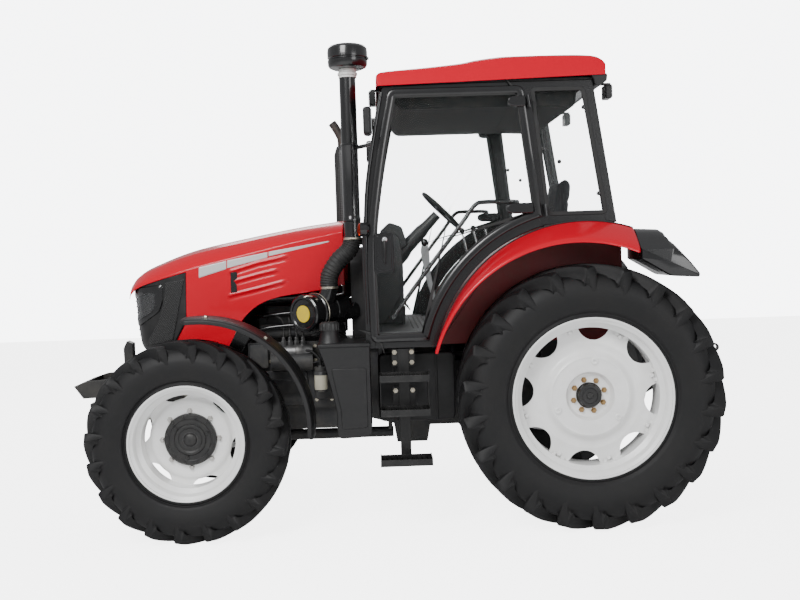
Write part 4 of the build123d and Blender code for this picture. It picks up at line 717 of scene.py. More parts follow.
surface("nose_mesh", "engine_hood", mesh_black, (side_mesh, False, False),
        (side_mesh * (1, -1, 1), False, False), (front_mesh, False, False),
        sharp=60, wall=0.003, slot="cab_black")
bars = []
for z in np.linspace(1.13, 1.38, 8):
    x = float(np.interp(z, *nose_front.T))
    bars.append(("z", z - 0.004, z + 0.004, [(x - 0.01, -0.16), (x + 0.008, -0.15), (x + 0.010, 0.0),
                                             (x + 0.008, 0.15), (x - 0.01, 0.16)]))
prisms("nose_bars", "engine_hood", nose_black, *bars, bevel=0.002, slot="cab_black")


# ---- Headlamps -----------------------------------------------------------------------
# Each lamp: a smooth black bezel, a bright stamped bowl with two round reflectors, and a
# clear moulded lens that follows the nose.
chrome = coated("lamp_chrome", (0.95, 0.96, 0.97), 0.22, dust=0.1, dust_colour=(0.7, 0.7, 0.7),
                scale=30.0, metallic=1.0, bump=0.02)


def clear(name, tint, alpha, roughness=0.03):
    """Glass or clear plastic: a tinted transmitting shader, partly see-through, with a fine
    uneven roughness."""
    made, tree, skin = shader(name)
    where = node(tree, "ShaderNodeTexCoord")
    haze = node(tree, "ShaderNodeTexNoise", Scale=14.0, Detail=3.0)
    spread = node(tree, "ShaderNodeMapRange", To_Min=roughness, To_Max=roughness + 0.06)
    join(tree, (where, "Object", haze, "Vector"), (haze, "Fac", spread, "Value"),
         (spread, "Result", skin, "Roughness"))
    set_inputs(skin, Base_Color=(*tint, 1), Transmission_Weight=0.9, Alpha=alpha, IOR=1.1)
    return made


lens_clear = clear("lens_clear", (0.95, 0.97, 1.0), 0.14)
lamp_line = rounded([(2.694, 1.370), (2.548, 1.404), (2.544, 1.321), (2.568, 1.281), (2.673, 1.223),
                     (2.690, 1.275)], 0.012, 6)
bezel_line = rounded([(2.700, 1.424), (2.491, 1.450), (2.496, 1.342), (2.519, 1.282), (2.660, 1.190),
                      (2.694, 1.215)], 0.018, 6)


def resample(outline, count):
    """Closed outline at evenly spaced places along its length."""
    p = np.vstack([outline, outline[:1]])
    far = np.r_[0, np.cumsum(np.linalg.norm(np.diff(p, axis=0), axis=1))]
    at = np.linspace(0, far[-1], count, endpoint=False)
    return np.stack([np.interp(at, far, p[:, k]) for k in range(p.shape[1])], -1)


lamp_ring, bezel_ring = resample(lamp_line, 96), resample(bezel_line, 96)
middle = lamp_ring.mean(0)
offset = np.argmin(np.linalg.norm(bezel_ring - lamp_ring[0], axis=1))
bezel_ring = np.roll(bezel_ring, -offset, 0)
bezel = [on_nose(*bezel_ring.T, -0.002), on_nose(*bezel_ring.T, 0.005)]
bezel += [on_nose(*(bezel_ring + (lamp_ring - bezel_ring) * share).T, lift)
          for share, lift in ((0.08, 0.009), (0.5, 0.010), (0.9, 0.010), (1.0, 0.006), (1.0, -0.010))]
bezel = np.stack(bezel)
bowl = np.stack([on_nose(*(middle + (lamp_ring - middle) * share).T, lift)
                 for share, lift in ((1.0, -0.004), (0.97, -0.020), (0.85, -0.028), (0.5, -0.032),
                                     (0.0, -0.034))])
lens = np.stack([on_nose(*(middle + (lamp_ring - middle) * share).T, lift)
                 for share, lift in ((1.0, 0.002), (0.96, 0.007), (0.7, 0.009), (0.35, 0.010), (0.0, 0.010))])
for name, finish, grid, slot, wall in (("lamp_bezels", gloss_black, bezel, "cab_black", 0.0),
                                       ("lamp_bowls", chrome, bowl, "zinc", 0.0015),
                                       ("lamp_lenses", lens_clear, lens, "lamp_clear", 0.0015)):
    surface(name, "engine_hood", finish, (grid, False, True), (grid * (1, -1, 1), False, True), sharp=40,
            wall=wall, slot=slot)
rings = []
for x, z, size in ((2.600, 1.335, 0.036), (2.648, 1.300, 0.028)):
    turn = np.arange(40) / 40 * 2 * pi
    for share, lift in ((1.0, -0.030), (1.0, -0.014), (0.93, -0.012), (0.75, -0.024), (0.35, -0.030),
                        (0, -0.031)):
        rings.append(on_nose(x + share * size * np.cos(turn), z + share * size * np.sin(turn), lift))
cups = np.stack([np.stack(rings[:6]), np.stack(rings[6:])])
surface("lamp_reflectors", "engine_hood", chrome, (cups, False, True), (cups * (1, -1, 1), False, True),
        sharp=40, slot="zinc")


# ---- Front mudguards -----------------------------------------------------------------
# Grained black plastic, moulded as one band with a turned-down edge on each side and a soft
# ridge along its outer side; it is bolted to a steel bracket on the knuckle.
grained = coated("grained_plastic", (0.005, 0.005, 0.0055), 0.44, dust=0.15,
                 dust_colour=(0.022, 0.020, 0.019), scale=7.0, bump=0.7, grain=0.0010)
zinc = coated("zinc_plate", (0.62, 0.58, 0.48), 0.32, dust=0.35, dust_colour=(0.40, 0.30, 0.16),
              scale=70.0, metallic=1.0, bump=0.15)


def turned(place, direction, profile, count=48, loop=False):
    """A turned piece on any line, as a grid for surface: the profile (distance along, radius)
    is carried round the line. X counts from the rear axle; a loop closes the profile."""
    profile, d = np.asarray(profile, float), np.asarray(direction, float)
    d = d / np.linalg.norm(d)
    a = np.cross(d, np.eye(3)[np.argmin(np.abs(d))])
    a /= np.linalg.norm(a)
    b = np.cross(d, a)
    turn = np.arange(count)[None, :, None] / count * 2 * pi
    points = (np.asarray(place, float) + (rear_x, 0, 0) + profile[:, 0, None, None] * d
              + profile[:, 1, None, None] * (np.cos(turn) * a + np.sin(turn) * b))
    return points, loop, True


guard_middle, guard_r = np.array([2.198, 0.641]), 0.624
for side, hand in sides:
    # Section of the band: sideways place, and height over its radius.
    profile = rounded([(0.690, -0.024), (0.690, 0.000), (0.710, 0.009), (0.800, 0.013), (0.928, 0.009),
                       (0.942, 0.004), (0.948, 0.004), (0.962, -0.004), (0.962, -0.026), (0.956, -0.026),
                       (0.955, -0.008), (0.930, 0.000), (0.800, 0.005), (0.712, 0.001), (0.697, -0.005),
                       (0.697, -0.024)], 0.004, 4)
    share = np.linspace(0, 1, 120)[:, None]
    angle = np.radians(82.5 + (186.0 - 82.5) * share)
    ends = np.clip(np.minimum(share, 1 - share) / 0.022, 0, 1) ** 0.5
    lip = profile[None, :, 1]
    r = guard_r + np.where(lip < -0.01, lip * (0.35 + 0.65 * ends), lip)
    y = 0.812 + (profile[None, :, 0] - 0.812) * (0.90 + 0.10 * ends)
    band = points_at(guard_middle[0] + rear_x + r * np.cos(angle), hand * y,
                     guard_middle[1] + r * np.sin(angle))
    closing = [band[k:k + 1].mean(axis=1, keepdims=True) + 0 * band[k:k + 1] for k in (0, 119)]
    band = np.concatenate([closing[0], band, closing[1]])
    surface(f"front_mudguard_{side}", f"steering_arm_{side}", grained, (band, False, True),
            replaces=(f"front_guard_{side}",), sharp=50, slot="guard_black")
    arms = [slab(hand, 0.604, 0.620, [(2.240, 0.640), (2.320, 0.640), (1.995, 1.205), (1.915, 1.170)])]
    bolts = []
    for a in (95, 127):
        out = np.array([cos(radians(a)), sin(radians(a))])
        on = 0.016 * np.array([-out[1], out[0]])
        at = guard_middle + (guard_r - 0.012) * out
        foot = at - 0.012 * out
        arms.append(slab(hand, 0.612, 0.940, [foot - on, foot + on, at + on, at - on]))
        at = guard_middle + (guard_r + 0.008) * out
        bolts.append(turned((at[0], hand * 0.918, at[1]), (out[0], 0, out[1]), hex_head(0.022, 0.012), 6))
    prisms(f"mudguard_bracket_{side}", f"steering_arm_{side}", gloss_black, *arms, bevel=0.003,
           slot="guard_black")
    surface(f"mudguard_bolts_{side}", f"steering_arm_{side}", zinc, *bolts, slot="zinc")


# ---- Air cleaner and intake ----------------------------------------------------------
# A sheet steel canister with a clamped dust cap, a ribbed rubber hose up to the stack, a
# painted steel stack held by a band, and a moulded pre-cleaner on top.
rubber_black = coated("hose_rubber", (0.014, 0.014, 0.014), 0.55, dust=0.3, dust_colour=(0.07, 0.065, 0.06),
                      scale=12.0, bump=0.2)
label_yellow = coated("cap_yellow", (0.75, 0.55, 0.03), 0.45, dust=0.2, scale=30.0, bump=0.05)


def tube(path, radius, count=24):
    """Rings round a path, each square to the path there, as a grid for surface with closed
    ends. Every ring is turned against one fixed direction, the axis that the path follows
    least, so the tube doesn't twist. X counts from the rear axle."""
    p = np.asarray(path, float) + (rear_x, 0, 0)
    along = np.gradient(p, axis=0)
    along /= np.linalg.norm(along, axis=1)[:, None]
    fixed = np.eye(3)[np.argmin(np.abs(along).mean(0))]
    a = np.cross(along, fixed)
    a /= np.linalg.norm(a, axis=1)[:, None]
    b = np.cross(along, a)
    turn = np.arange(count) / count * 2 * pi
    r = np.broadcast_to(radius, len(p))[:, None, None]
    rings = p[:, None] + r * (np.cos(turn)[:, None] * a[:, None] + np.sin(turn)[:, None] * b[:, None])
    ends = [np.repeat(p[k:k + 1, None], count, 1) for k in (0, len(p) - 1)]
    return np.concatenate([ends[0], rings, ends[1]]), False, True


face, out = np.array([1.629, 0.560, 1.254]), (0.62, 0.78, -0.04)
canister = [(-0.340, 0.0), (-0.340, 0.080), (-0.330, 0.096), (-0.230, 0.098), (-0.226, 0.102),
            (-0.218, 0.102), (-0.214, 0.098), (-0.110, 0.098), (-0.106, 0.110), (-0.100, 0.112),
            (-0.092, 0.112), (-0.088, 0.106), (-0.020, 0.114), (-0.006, 0.112), (0.0, 0.104), (0.0, 0.090),
            (-0.004, 0.084), (-0.004, 0.0)]
outlet = tube([(1.545, 0.47, 1.30), (1.490, 0.470, 1.345), (1.474, 0.470, 1.400)], 0.052)
surface("air_cleaner_canister", "chassis", gloss_black, turned(face, out, canister),
        outlet, tube([(1.40, 0.36, 1.24), (1.34, 0.30, 1.24), (1.33, 0.24, 1.30)], 0.045),
        replaces=("air_cleaner",), sharp=32, slot="tank_black")
surface("air_cleaner_disc", "chassis", label_yellow,
        turned(face, out, [(-0.003, 0.0), (-0.003, 0.050), (0.0015, 0.050), (0.0015, 0.0)]), slot="zinc")
wire = turned(face, out, [(-0.112, 0.1135), (-0.109, 0.1155), (-0.106, 0.1135)], 48)
bent = np.array([(-0.10, 0.062, 0.104), (-0.05, 0.075, 0.108), (-0.02, 0.07, 0.100)]) * (0.6, 0.6, 1)
clip = tube(face + bent, 0.003, 8)
surface("air_cleaner_clips", "chassis", zinc, wire, clip, slot="zinc")

hose_line = smooth_line([(1.474, 0.470, 1.395), (1.474, 0.470, 1.440), (1.462, 0.470, 1.490),
                         (1.415, 0.470, 1.560), (1.352, 0.470, 1.620), (1.328, 0.470, 1.670),
                         (1.325, 0.470, 1.700)], 260)
far = np.linspace(0, 1, 260)
ripple = 0.0022 * np.cos(far * 2 * pi * 21) * np.clip(np.minimum(far - 0.05, 0.93 - far) / 0.03, 0, 1)
surface("intake_bellows", "chassis", rubber_black, tube(hose_line, 0.053 + ripple, 40),
        replaces=("intake_hose",), sharp=60, slot="hose_rubber")
bands, r = [], 0.0555
for z, x in ((1.402, 1.474), (1.690, 1.325)):
    bands.append(turned((x, 0.470, z), (0, 0, 1),
                        [(-0.007, r - 0.003), (-0.007, r), (0.007, r), (0.007, r - 0.003)], loop=True))
    bands.append(turned((x, 0.470 + r + 0.004, z), (1, 0, 0.1),
                        [(-0.018, 0), (-0.018, 0.006), (0.018, 0.006), (0.018, 0)], 12))
surface("intake_clamps", "chassis", zinc, *bands, sharp=30, slot="zinc")

stack = [(1.685, 0.046), (1.685, 0.050), (1.790, 0.050), (1.794, 0.053), (1.812, 0.053), (1.818, 0.050),
         (1.830, 0.0495), (2.232, 0.0495), (2.236, 0.052), (2.250, 0.052), (2.254, 0.049), (2.640, 0.0485),
         (2.655, 0.0485)]
surface("intake_stack", "chassis", gloss_black,
        turned((1.324, 0.470, 0), (0, 0, 1), stack),
        tube([(1.295, 0.49, 2.225), (1.22, 0.60, 2.228), (1.17, 0.745, 2.230)], 0.012, 12),
        turned((1.319, 0.470, 0), (0, 0, 1),
                [(2.690, 0.0), (2.690, 0.085), (2.700, 0.108), (2.712, 0.116), (2.742, 0.118),
                 (2.746, 0.114), (2.752, 0.114), (2.756, 0.119), (2.790, 0.119), (2.812, 0.116),
                 (2.826, 0.104), (2.834, 0.080), (2.838, 0.0)], 56),
        turned((1.319, 0.470, 2.748), (-1, 0.25, 0), [(0.10, 0), (0.10, 0.010), (0.128, 0.010),
                                                      (0.128, 0)], 12),
        replaces=("intake_pipe",), sharp=32, slot="pipe_black")
collar_pale = coated("collar_pale", (0.70, 0.70, 0.68), 0.4, dust=0.3, scale=40.0, bump=0.05)
surface("stack_collar", "chassis", collar_pale,
        turned((1.322, 0.470, 0), (0, 0, 1), [(2.640, 0.048), (2.640, 0.053), (2.652, 0.053),
                                              (2.655, 0.0585), (2.668, 0.0585), (2.672, 0.053),
                                              (2.692, 0.053), (2.692, 0.04)]),
        sharp=30, slot="zinc")


# ---- Exhaust -------------------------------------------------------------------------
# A steel stack with a perforated guard round its silencer and a bent, slash-cut outlet.
exhaust_steel = coated("exhaust_steel", (0.055, 0.050, 0.047), 0.50, dust=0.5, dust_colour=(0.16, 0.10, 0.07),
                       scale=14.0, metallic=0.6, bump=0.3)
guard_mesh, tree, skin = shader("exhaust_guard")
set_inputs(skin, Metallic=0.4, Roughness=0.45)
where = node(tree, "ShaderNodeTexCoord")
# Near-black spots in the colour mark the holes: painted shade inside them; the bump follows the same spots.
holes = node(tree, "ShaderNodeTexVoronoi", Scale=85.0, Randomness=0.15)
cut = node(tree, "ShaderNodeMapRange", From_Min=0.30, From_Max=0.42, To_Min=0.002, To_Max=0.05)
relief = node(tree, "ShaderNodeBump", Strength=0.7, Distance=0.002)
join(tree, (where, "Object", holes, "Vector"), (holes, "Distance", cut, "Value"),
     (cut, "Result", skin, "Base Color"), (cut, "Result", relief, "Height"),
     (relief, "Normal", skin, "Normal"))
pipe_x, pipe_y = 1.398, -0.450
bend = smooth_line([(pipe_x, pipe_y, 1.30), (pipe_x, pipe_y, 1.75), (pipe_x, pipe_y, 2.24),
                    (pipe_x, pipe_y, 2.36), (pipe_x + 0.008, pipe_y, 2.40), (pipe_x + 0.040, pipe_y, 2.46),
                    (pipe_x + 0.062, pipe_y, 2.492)], 90)
surface("exhaust_pipe", "chassis", exhaust_steel, tube(bend, 0.028, 28),
        turned((pipe_x, pipe_y, 0), (0, 0, 1), [(1.40, 0.03), (1.40, 0.058), (1.415, 0.068), (1.60, 0.068),
                                                (1.60, 0.04)]),
        tube([(pipe_x, pipe_y, 1.42), (pipe_x, pipe_y + 0.02, 1.32), (1.50, -0.33, 1.24),
              (1.56, -0.22, 1.20)], 0.034),
        replaces=("exhaust",), sharp=40, slot="exhaust_steel")
surface("exhaust_shield", "chassis", guard_mesh,
        turned((pipe_x, pipe_y, 0), (0, 0, 1), [(1.60, 0.050), (1.60, 0.054), (2.27, 0.054), (2.32, 0.040),
                                                (2.33, 0.034), (2.325, 0.030),
                                                (2.27, 0.050)]), sharp=30, slot="exhaust_steel")


# ---- Fuel tank, battery box and steps ------------------------------------------------
# Moulded plastic tanks with soft corners and a filler neck; a steel battery box on the other
# side; steps of folded plate with raised grips, bolted to an upright.
tank = rounded([(1.241, 0.578), (1.300, 0.566), (1.438, 0.560), (1.434, 0.718), (1.501, 1.000),
                (1.531, 1.080),
                (1.531, 1.094), (1.515, 1.100), (1.241, 1.100)], [0.02, 0.02, 0.04, 0.05, 0.05, 0.02, 0.01,
                                                                  0.02, 0.015], 6)
prisms("fuel_tank_left", "chassis", grained, ("y", 0.540, 0.880, tank),
       ("y", 0.560, 0.884, rounded([(1.262, 0.620), (1.410, 0.612), (1.412, 0.716), (1.462, 0.960),
                                    (1.262, 0.960)], 0.02, 4)),
       ("y", 0.545, 0.886, rounded([(1.236, 1.078), (1.536, 1.078), (1.532, 1.098), (1.236, 1.098)], 0.006,
                                   3)),
       bevel=0.014, replaces=("fuel_tanks",), slot="tank_black")
prisms("saddle_tanks", "chassis", grained,
       *(slab(side, 0.166, 0.590, rounded(box(0.742, 1.198, 0.602, 1.008), 0.04, 5))
         for side in (1, -1)),
       *(slab(side, 0.20, 0.592, box(x, x + 0.03, 0.60, 1.012))
         for side in (1, -1) for x in (0.84, 1.08)), bevel=0.012, slot="tank_black")
surface("tank_neck", "chassis", grained,
        turned((1.466, 0.780, 0), (0, 0, 1),
                [(1.080, 0.0), (1.080, 0.078), (1.100, 0.068), (1.135, 0.056), (1.160, 0.052),
                 (1.172, 0.052)], 48),
        sharp=40, slot="tank_black")
turn = np.arange(96) / 96 * 2 * pi
grip = 0.055 + 0.0018 * np.sign(np.sin(turn * 16))
rows = [points_at(1.466 + rear_x + r * np.cos(turn), 0.780 + r * np.sin(turn), z)
        for z, r in ((1.170, 0.0 * grip), (1.170, grip), (1.206, grip), (1.212, 0.051 + 0 * grip),
                     (1.217, 0.044 + 0 * grip), (1.217, 0.0 * grip))]
surface("tank_cap", "chassis", rubber_black, (np.stack(rows), False, True), sharp=35, slot="tank_black")
prisms("battery_housing", "chassis", gloss_black,
       ("y", -0.870, -0.520, rounded(box(1.203, 1.470, 0.622, 0.978), 0.012, 4)),
       ("y", -0.874, -0.862, rounded(box(1.225, 1.450, 0.650, 0.940), 0.02, 4)),
       bevel=0.006, replaces=("battery_box",), slot="tank_black")

step_steel = coated("step_paint", (0.006, 0.006, 0.006), 0.42, dust=0.35, dust_colour=(0.040, 0.038, 0.036),
                    scale=14.0, bump=0.2)
for side, hand in sides:
    shapes, teeth = [], []
    for z, x0, x1 in ((0.905, 0.912, 1.190), (0.712, 0.912, 1.190), (0.432, 0.906, 1.198)):
        shapes.append(slab(hand, 0.786, 0.946, box(x0, x1, z - 0.026, z - 0.020)))
        shapes.append(slab(hand, 0.936, 0.946, box(x0, x1, z - 0.026, z + 0.012)))
        shapes.append(slab(hand, 0.786, 0.794, box(x0, x1, z - 0.026, z + 0.012)))
        for x in (x0, x1 - 0.006):
            shapes.append(slab(hand, 0.786, 0.946, box(x, x + 0.006, z - 0.026, z + 0.016)))
        for x in np.linspace(x0 + 0.028, x1 - 0.034, 9):
            teeth.append(slab(hand, 0.792, 0.940, [(x, z - 0.022), (x + 0.007, z - 0.022),
                                                   (x + 0.005, z + 0.004), (x + 0.002, z + 0.004)]))
    for x in (0.912, 1.184):
        shapes.append(slab(hand, 0.790, 0.850, box(x, x + 0.006, 0.712, 0.905)))
    shapes.append(slab(hand, 0.772, 0.786, box(1.021, 1.081, 0.420, 1.050)))
    shapes.append(slab(hand, 0.762, 0.776, box(0.987, 1.117, 0.690, 0.830)))
    shapes.append(slab(hand, 0.762, 0.776, box(0.987, 1.117, 0.950, 1.050)))
    for z in (0.720, 0.960):
        shapes.append(slab(hand, 0.592, 0.770, box(1.022, 1.082, z - 0.02, z + 0.02)))
    shapes += teeth
    prisms(f"cab_steps_{side}", "chassis", step_steel, *shapes, bevel=0.0012, replaces=(f"steps_{side}",),
           slot="frame_black")
    places = [(x + rear_x, hand * 0.776, z) for x in (1.003, 1.101) for z in (0.710, 0.810, 0.970, 1.030)]
    surface(f"step_bolts_{side}", "chassis", zinc, studs(places, hex_head(0.020, 0.011), 6, hand),
            slot="zinc")


# ---- Cab frame -----------------------------------------------------------------------
# Rolled steel tube, welded and painted black: two pillars each side that lean with the
# windows, an arched sill over the wheel, headers front and rear, and rubber seals.
cab_paint = coated("cab_paint", (0.004, 0.004, 0.0045), 0.24, dust=0.10, dust_colour=(0.03, 0.028, 0.026),
                   scale=5.0, coat=0.5, bump=0.03)
seal = coated("seal_rubber", (0.016, 0.016, 0.016), 0.75, dust=0.2, dust_colour=(0.06, 0.06, 0.06),
              scale=20.0, bump=0.2)


# Middle of the arches over the rear wheel, in the side view.
arch_x, arch_z = 0.007, 0.887


def arc(r, start, end, count):
    """Points of an arc over the rear wheel in the side view, angles in degrees from the front."""
    turn = np.radians(np.linspace(start, end, count))
    return points_at(arch_x + r * np.cos(turn), arch_z + r * np.sin(turn))


def ring_bar(hand, outline, width, low, high, lip=0.0):
    """A bar of rectangular section that follows a closed outline in the side view, as a grid
    for surface: its outer edge is the outline, its inner edge the outline moved inward; lip
    lowers the inner face, and hand says the side."""
    inner = inset(outline, width)
    soft = 0.18 * width
    section = [(outline, low), (inner, low), (inner, high - lip - 0.003),
               (inset(outline, width - soft * 0.5), high - lip),
               (inset(outline, soft), high), (inset(outline, soft * 0.25), high - 0.003),
               (outline, high - 0.007)]
    return np.stack([points_at(p[:, 0] + rear_x, hand * y, p[:, 1]) for p, y in section], 1), True, True


quarter = rounded([(0.206, 1.790), (0.278, 2.496), (-0.012, 2.496), (-0.128, 1.790)], 0.025, 6)
shapes = []
bars = []
for side, hand in sides:
    y0, y1 = sorted((hand * 0.752, hand * 0.797))
    # Front pillar, roof rail, rear pillar, middle pillar, and the arched sill.
    front = rounded([(1.207, 1.058), (1.262, 1.058), (1.262, 1.300), (1.270, 1.677), (1.203, 2.144),
                     (1.120, 2.540), (1.062, 2.540), (1.146, 2.130), (1.213, 1.672), (1.207, 1.300)],
                     [0.003, 0.003, 0.2, 0.2, 0.2, 0.004, 0.004, 0.2, 0.2, 0.2], 6)
    shapes.append(("y", y0, y1, front))
    shapes.append(("y", y0, y1, [(-0.066, 2.540), (-0.073, 2.494), (1.075, 2.494), (1.064, 2.540)]))
    shapes.append(("y", y0, y1, [(-0.187, 1.733), (-0.122, 1.745), (-0.008, 2.500), (-0.072, 2.500)]))
    shapes.append(("y", y0, y1, [(0.196, 1.760), (0.262, 1.790), (0.348, 2.500), (0.282, 2.500)]))
    shapes.append(("y", y0, y1, [(-0.187, 1.733), (0.24, 1.730), (0.27, 1.792), (-0.180, 1.790)]))
    sill = np.vstack([arc(0.952, 14.3, 80, 40), arc(0.868, 80, 11.2, 40)])
    shapes.append(("y", y0, y1, sill))
    shapes.append(("y", y0, y1, [(0.862, 1.056), (1.240, 1.056), (1.240, 1.122), (0.905, 1.122)]))
    # A soft half-round rail down the outside of the front pillar.
    rail = smooth_line([(1.130, hand * 0.800, 2.500), (1.178, hand * 0.803, 2.260),
                        (1.222, hand * 0.803, 2.000), (1.240, hand * 0.803, 1.780),
                        (1.2425, hand * 0.803, 1.600), (1.240, hand * 0.803, 1.200)], 60)
    bars.append(tube(rail, 0.011, 12))
for outline in ([(1.064, 2.496), (1.131, 2.496), (1.122, 2.540), (1.064, 2.540)],
                [(-0.074, 2.496), (-0.010, 2.496), (-0.010, 2.540), (-0.066, 2.540)],
                [(-0.186, 1.746), (-0.120, 1.746), (-0.114, 1.785), (-0.180, 1.785)],
                [(1.205, 1.640), (1.265, 1.640), (1.262, 1.700), (1.205, 1.700)]):
    shapes.append(("y", -0.755, 0.755, outline))
for hand in (1, -1):
    shapes.append(slab(hand, 0.184, 0.196, [(1.263, 1.650), (1.263, 1.697), (1.330, 1.702), (1.372, 1.752),
                                            (1.398, 1.752), (1.398, 1.728), (1.345, 1.665)]))
    bars.append(tube([(1.385, hand * 0.190, 1.740), (1.385, hand * 0.243, 1.740)], 0.0098, 16))
    # Lower half of each door hinge: a knuckle on a welded pad.
    for z in (1.812, 2.424):
        x = 0.218 + (z - 1.770) * 0.1314
        bars.append(turned((x, hand * 0.835, z), (-0.1302, 0, -0.9915),
                           [(0, 0), (0, 0.0098), (0.034, 0.0098), (0.034, 0)], 20))
        shapes.append(slab(hand, 0.792, 0.834, [(x - 0.013, z - 0.032), (x + 0.007, z - 0.032),
                                                (x + 0.009, z - 0.003), (x - 0.009, z - 0.003)]))
# Each member ends on one of nine planes a little apart, to keep crossing faces from
# coinciding.
shapes = [(axis, low + 0.0006 * (k % 9), high - 0.0006 * (k % 9), outline)
          for k, (axis, low, high, outline) in enumerate(shapes)]
prisms("cab_frame_members", "chassis", cab_paint, *shapes, bevel=0.005, replaces=("cab_frame",),
       slot="cab_black")
surface("cab_pillar_rails", "chassis", cab_paint, *bars, slot="cab_black")


# ---- Doors ---------------------------------------------------------------------------
# A frame of folded tube that closes on a rubber seal, hinged on the middle pillar; a bonded
# pane, and a latch box with a pull and a button.
door_line = np.vstack([
    rounded([(0.9016, 1.092), (1.232, 1.092), (1.240, 1.672), (1.172, 2.140), (1.092, 2.516),
             (0.330, 2.516), (0.2385, 1.775)],
            [0, 0.045, 0.25, 0.25, 0.045, 0.045, 0], 9, closed=False),
    arc(0.918, 75.4, 12.9, 60)[1:-1]])
glazing = clear("tinted_glass", (0.55, 0.62, 0.60), 0.07, roughness=0.0)
for side, hand in sides:
    body = f"cab_door_{side}"
    surface(f"door_frame_{side}", body, cab_paint, ring_bar(hand, door_line, 0.042, 0.799, 0.825, 0.002),
            replaces=(f"door_{side}",), sharp=38, slot="cab_black")
    surface(f"door_seal_{side}", body, seal, ring_bar(hand, inset(door_line, 0.040), 0.012, 0.8125, 0.8185),
            sharp=38, slot="cab_black")
    prisms(f"door_pane_{side}", body, glazing, slab(hand, 0.809, 0.8148, inset(door_line, 0.046)),
           bevel=0.0, replaces=(f"door_glass_{side}",), slot="glazing")
    prisms(f"door_lock_{side}", body, gloss_black,
           slab(hand, 0.800, 0.829, rounded(box(1.088, 1.196, 1.487, 1.712), 0.018, 5)),
           slab(hand, 0.826, 0.833, rounded(box(1.100, 1.184, 1.500, 1.700), 0.014, 5)), bevel=0.003,
           slot="cab_black")
    pull = smooth_line([(1.137, 0.834, 1.535), (1.139, 0.8435, 1.560), (1.139, 0.8460, 1.600),
                        (1.138, 0.8455, 1.640), (1.137, 0.8400, 1.668)], 30) * (1, hand, 1)
    thick = 0.75 * np.interp(np.linspace(0, 1, 30), [0, 0.2, 0.8, 1], [0.004, 0.0095, 0.0125, 0.0125])
    surface(f"door_handle_{side}", body, nose_black, tube(pull, thick, 16),
            sharp=60, slot="cab_black")
    surface(f"door_button_{side}", body, chrome,
            studs([(1.1365 + rear_x, hand * 0.833, 1.675)],
                  [(0, 0), (0, 0.0145), (0.006, 0.0145), (0.008, 0.012), (0.008, 0.009), (0.012, 0.008),
                   (0.013, 0)], 28, hand),
            slot="zinc")
    hinges = []
    for z in (1.812, 2.424):
        x = 0.218 + (z - 1.770) * 0.1314
        hinges.append(turned((x + 0.0001, hand * 0.835, z + 0.001), (0.1302, 0, 0.9915),
                              [(0, 0), (0, 0.0098), (0.034, 0.0098), (0.034, 0)], 20))
    surface(f"door_hinges_{side}", body, cab_paint, *hinges, slot="cab_black")
    # Grab rail inside the door, corner to corner on stand-offs.
    rail = smooth_line([(1.098, 0.806, 1.236), (1.096, 0.778, 1.238), (1.086, 0.766, 1.250),
                        (0.900, 0.762, 1.492), (0.708, 0.762, 1.735), (0.640, 0.762, 1.826),
                        (0.610, 0.762, 1.858), (0.575, 0.762, 1.870), (0.460, 0.762, 1.870),
                        (0.415, 0.766, 1.869), (0.386, 0.778, 1.866),
                        (0.378, 0.806, 1.864)], 110) * (1, hand, 1)
    surface(f"door_grab_rail_{side}", body, gloss_black, tube(rail, 0.0125, 16), slot="cab_black")
    # Cast hinge arms that clamp the pane.
    arms = []
    for x, z in ((0.318, 2.4265), (0.290, 1.827)):
        tip = x + (0.105 if z > 2 else 0.155)
        arms.append(slab(hand, 0.8150, 0.8385,
                         rounded([(x, z - 0.030), (tip - 0.03, z - 0.030), (tip, z - 0.018),
                                  (tip, z + 0.018), (tip - 0.03, z + 0.030), (x, z + 0.030)], 0.016, 5)))
    prisms(f"door_hinge_arms_{side}", body, gloss_black, *arms, bevel=0.007, slot="cab_black")


# ---- Fixed windows -------------------------------------------------------------------
# Bonded panes: a flat quarter window on each side with a black seal and small fixing knobs,
# a windscreen that leans back in two steps, and a flat rear window.
for side, hand in sides:
    prisms(f"quarter_pane_{side}", "chassis", glazing, slab(hand, 0.781, 0.7868, inset(quarter, 0.002)),
           bevel=0.0, replaces=(f"quarter_window_{side}",), slot="glazing")
    surface(f"quarter_seal_{side}", "chassis", seal,
            ring_bar(hand, inset(quarter, -0.012), 0.026, 0.786, 0.7985), sharp=38, slot="cab_black")
knobs = [(-0.012, 2.387), (-0.088, 1.899), (0.219, 2.161), (0.132, 2.085)]
for side, hand in sides:
    surface(f"quarter_knobs_{side}", "chassis", gloss_black,
            studs([(x + rear_x, hand * 0.7868, z) for x, z in knobs],
                   [(0, 0), (0, 0.010), (0.004, 0.012), (0.009, 0.011), (0.011, 0.007), (0.011, 0)], 20,
                   hand), slot="cab_black")
prisms("windscreen_pane", "chassis", glazing,
       ("y", -0.742, 0.742, [(1.2585, 1.705), (1.2640, 1.705), (1.198, 2.142), (1.1255, 2.493),
                             (1.1200, 2.493), (1.1925, 2.142)]),
       bevel=0.0, replaces=("windscreen",), slot="glazing")
prisms("rear_pane", "chassis", glazing,
       ("y", -0.742, 0.742, [(-0.1720, 1.787), (-0.1665, 1.787), (-0.0660, 2.494), (-0.0715, 2.494)]),
       bevel=0.0, replaces=("rear_window",), slot="glazing")
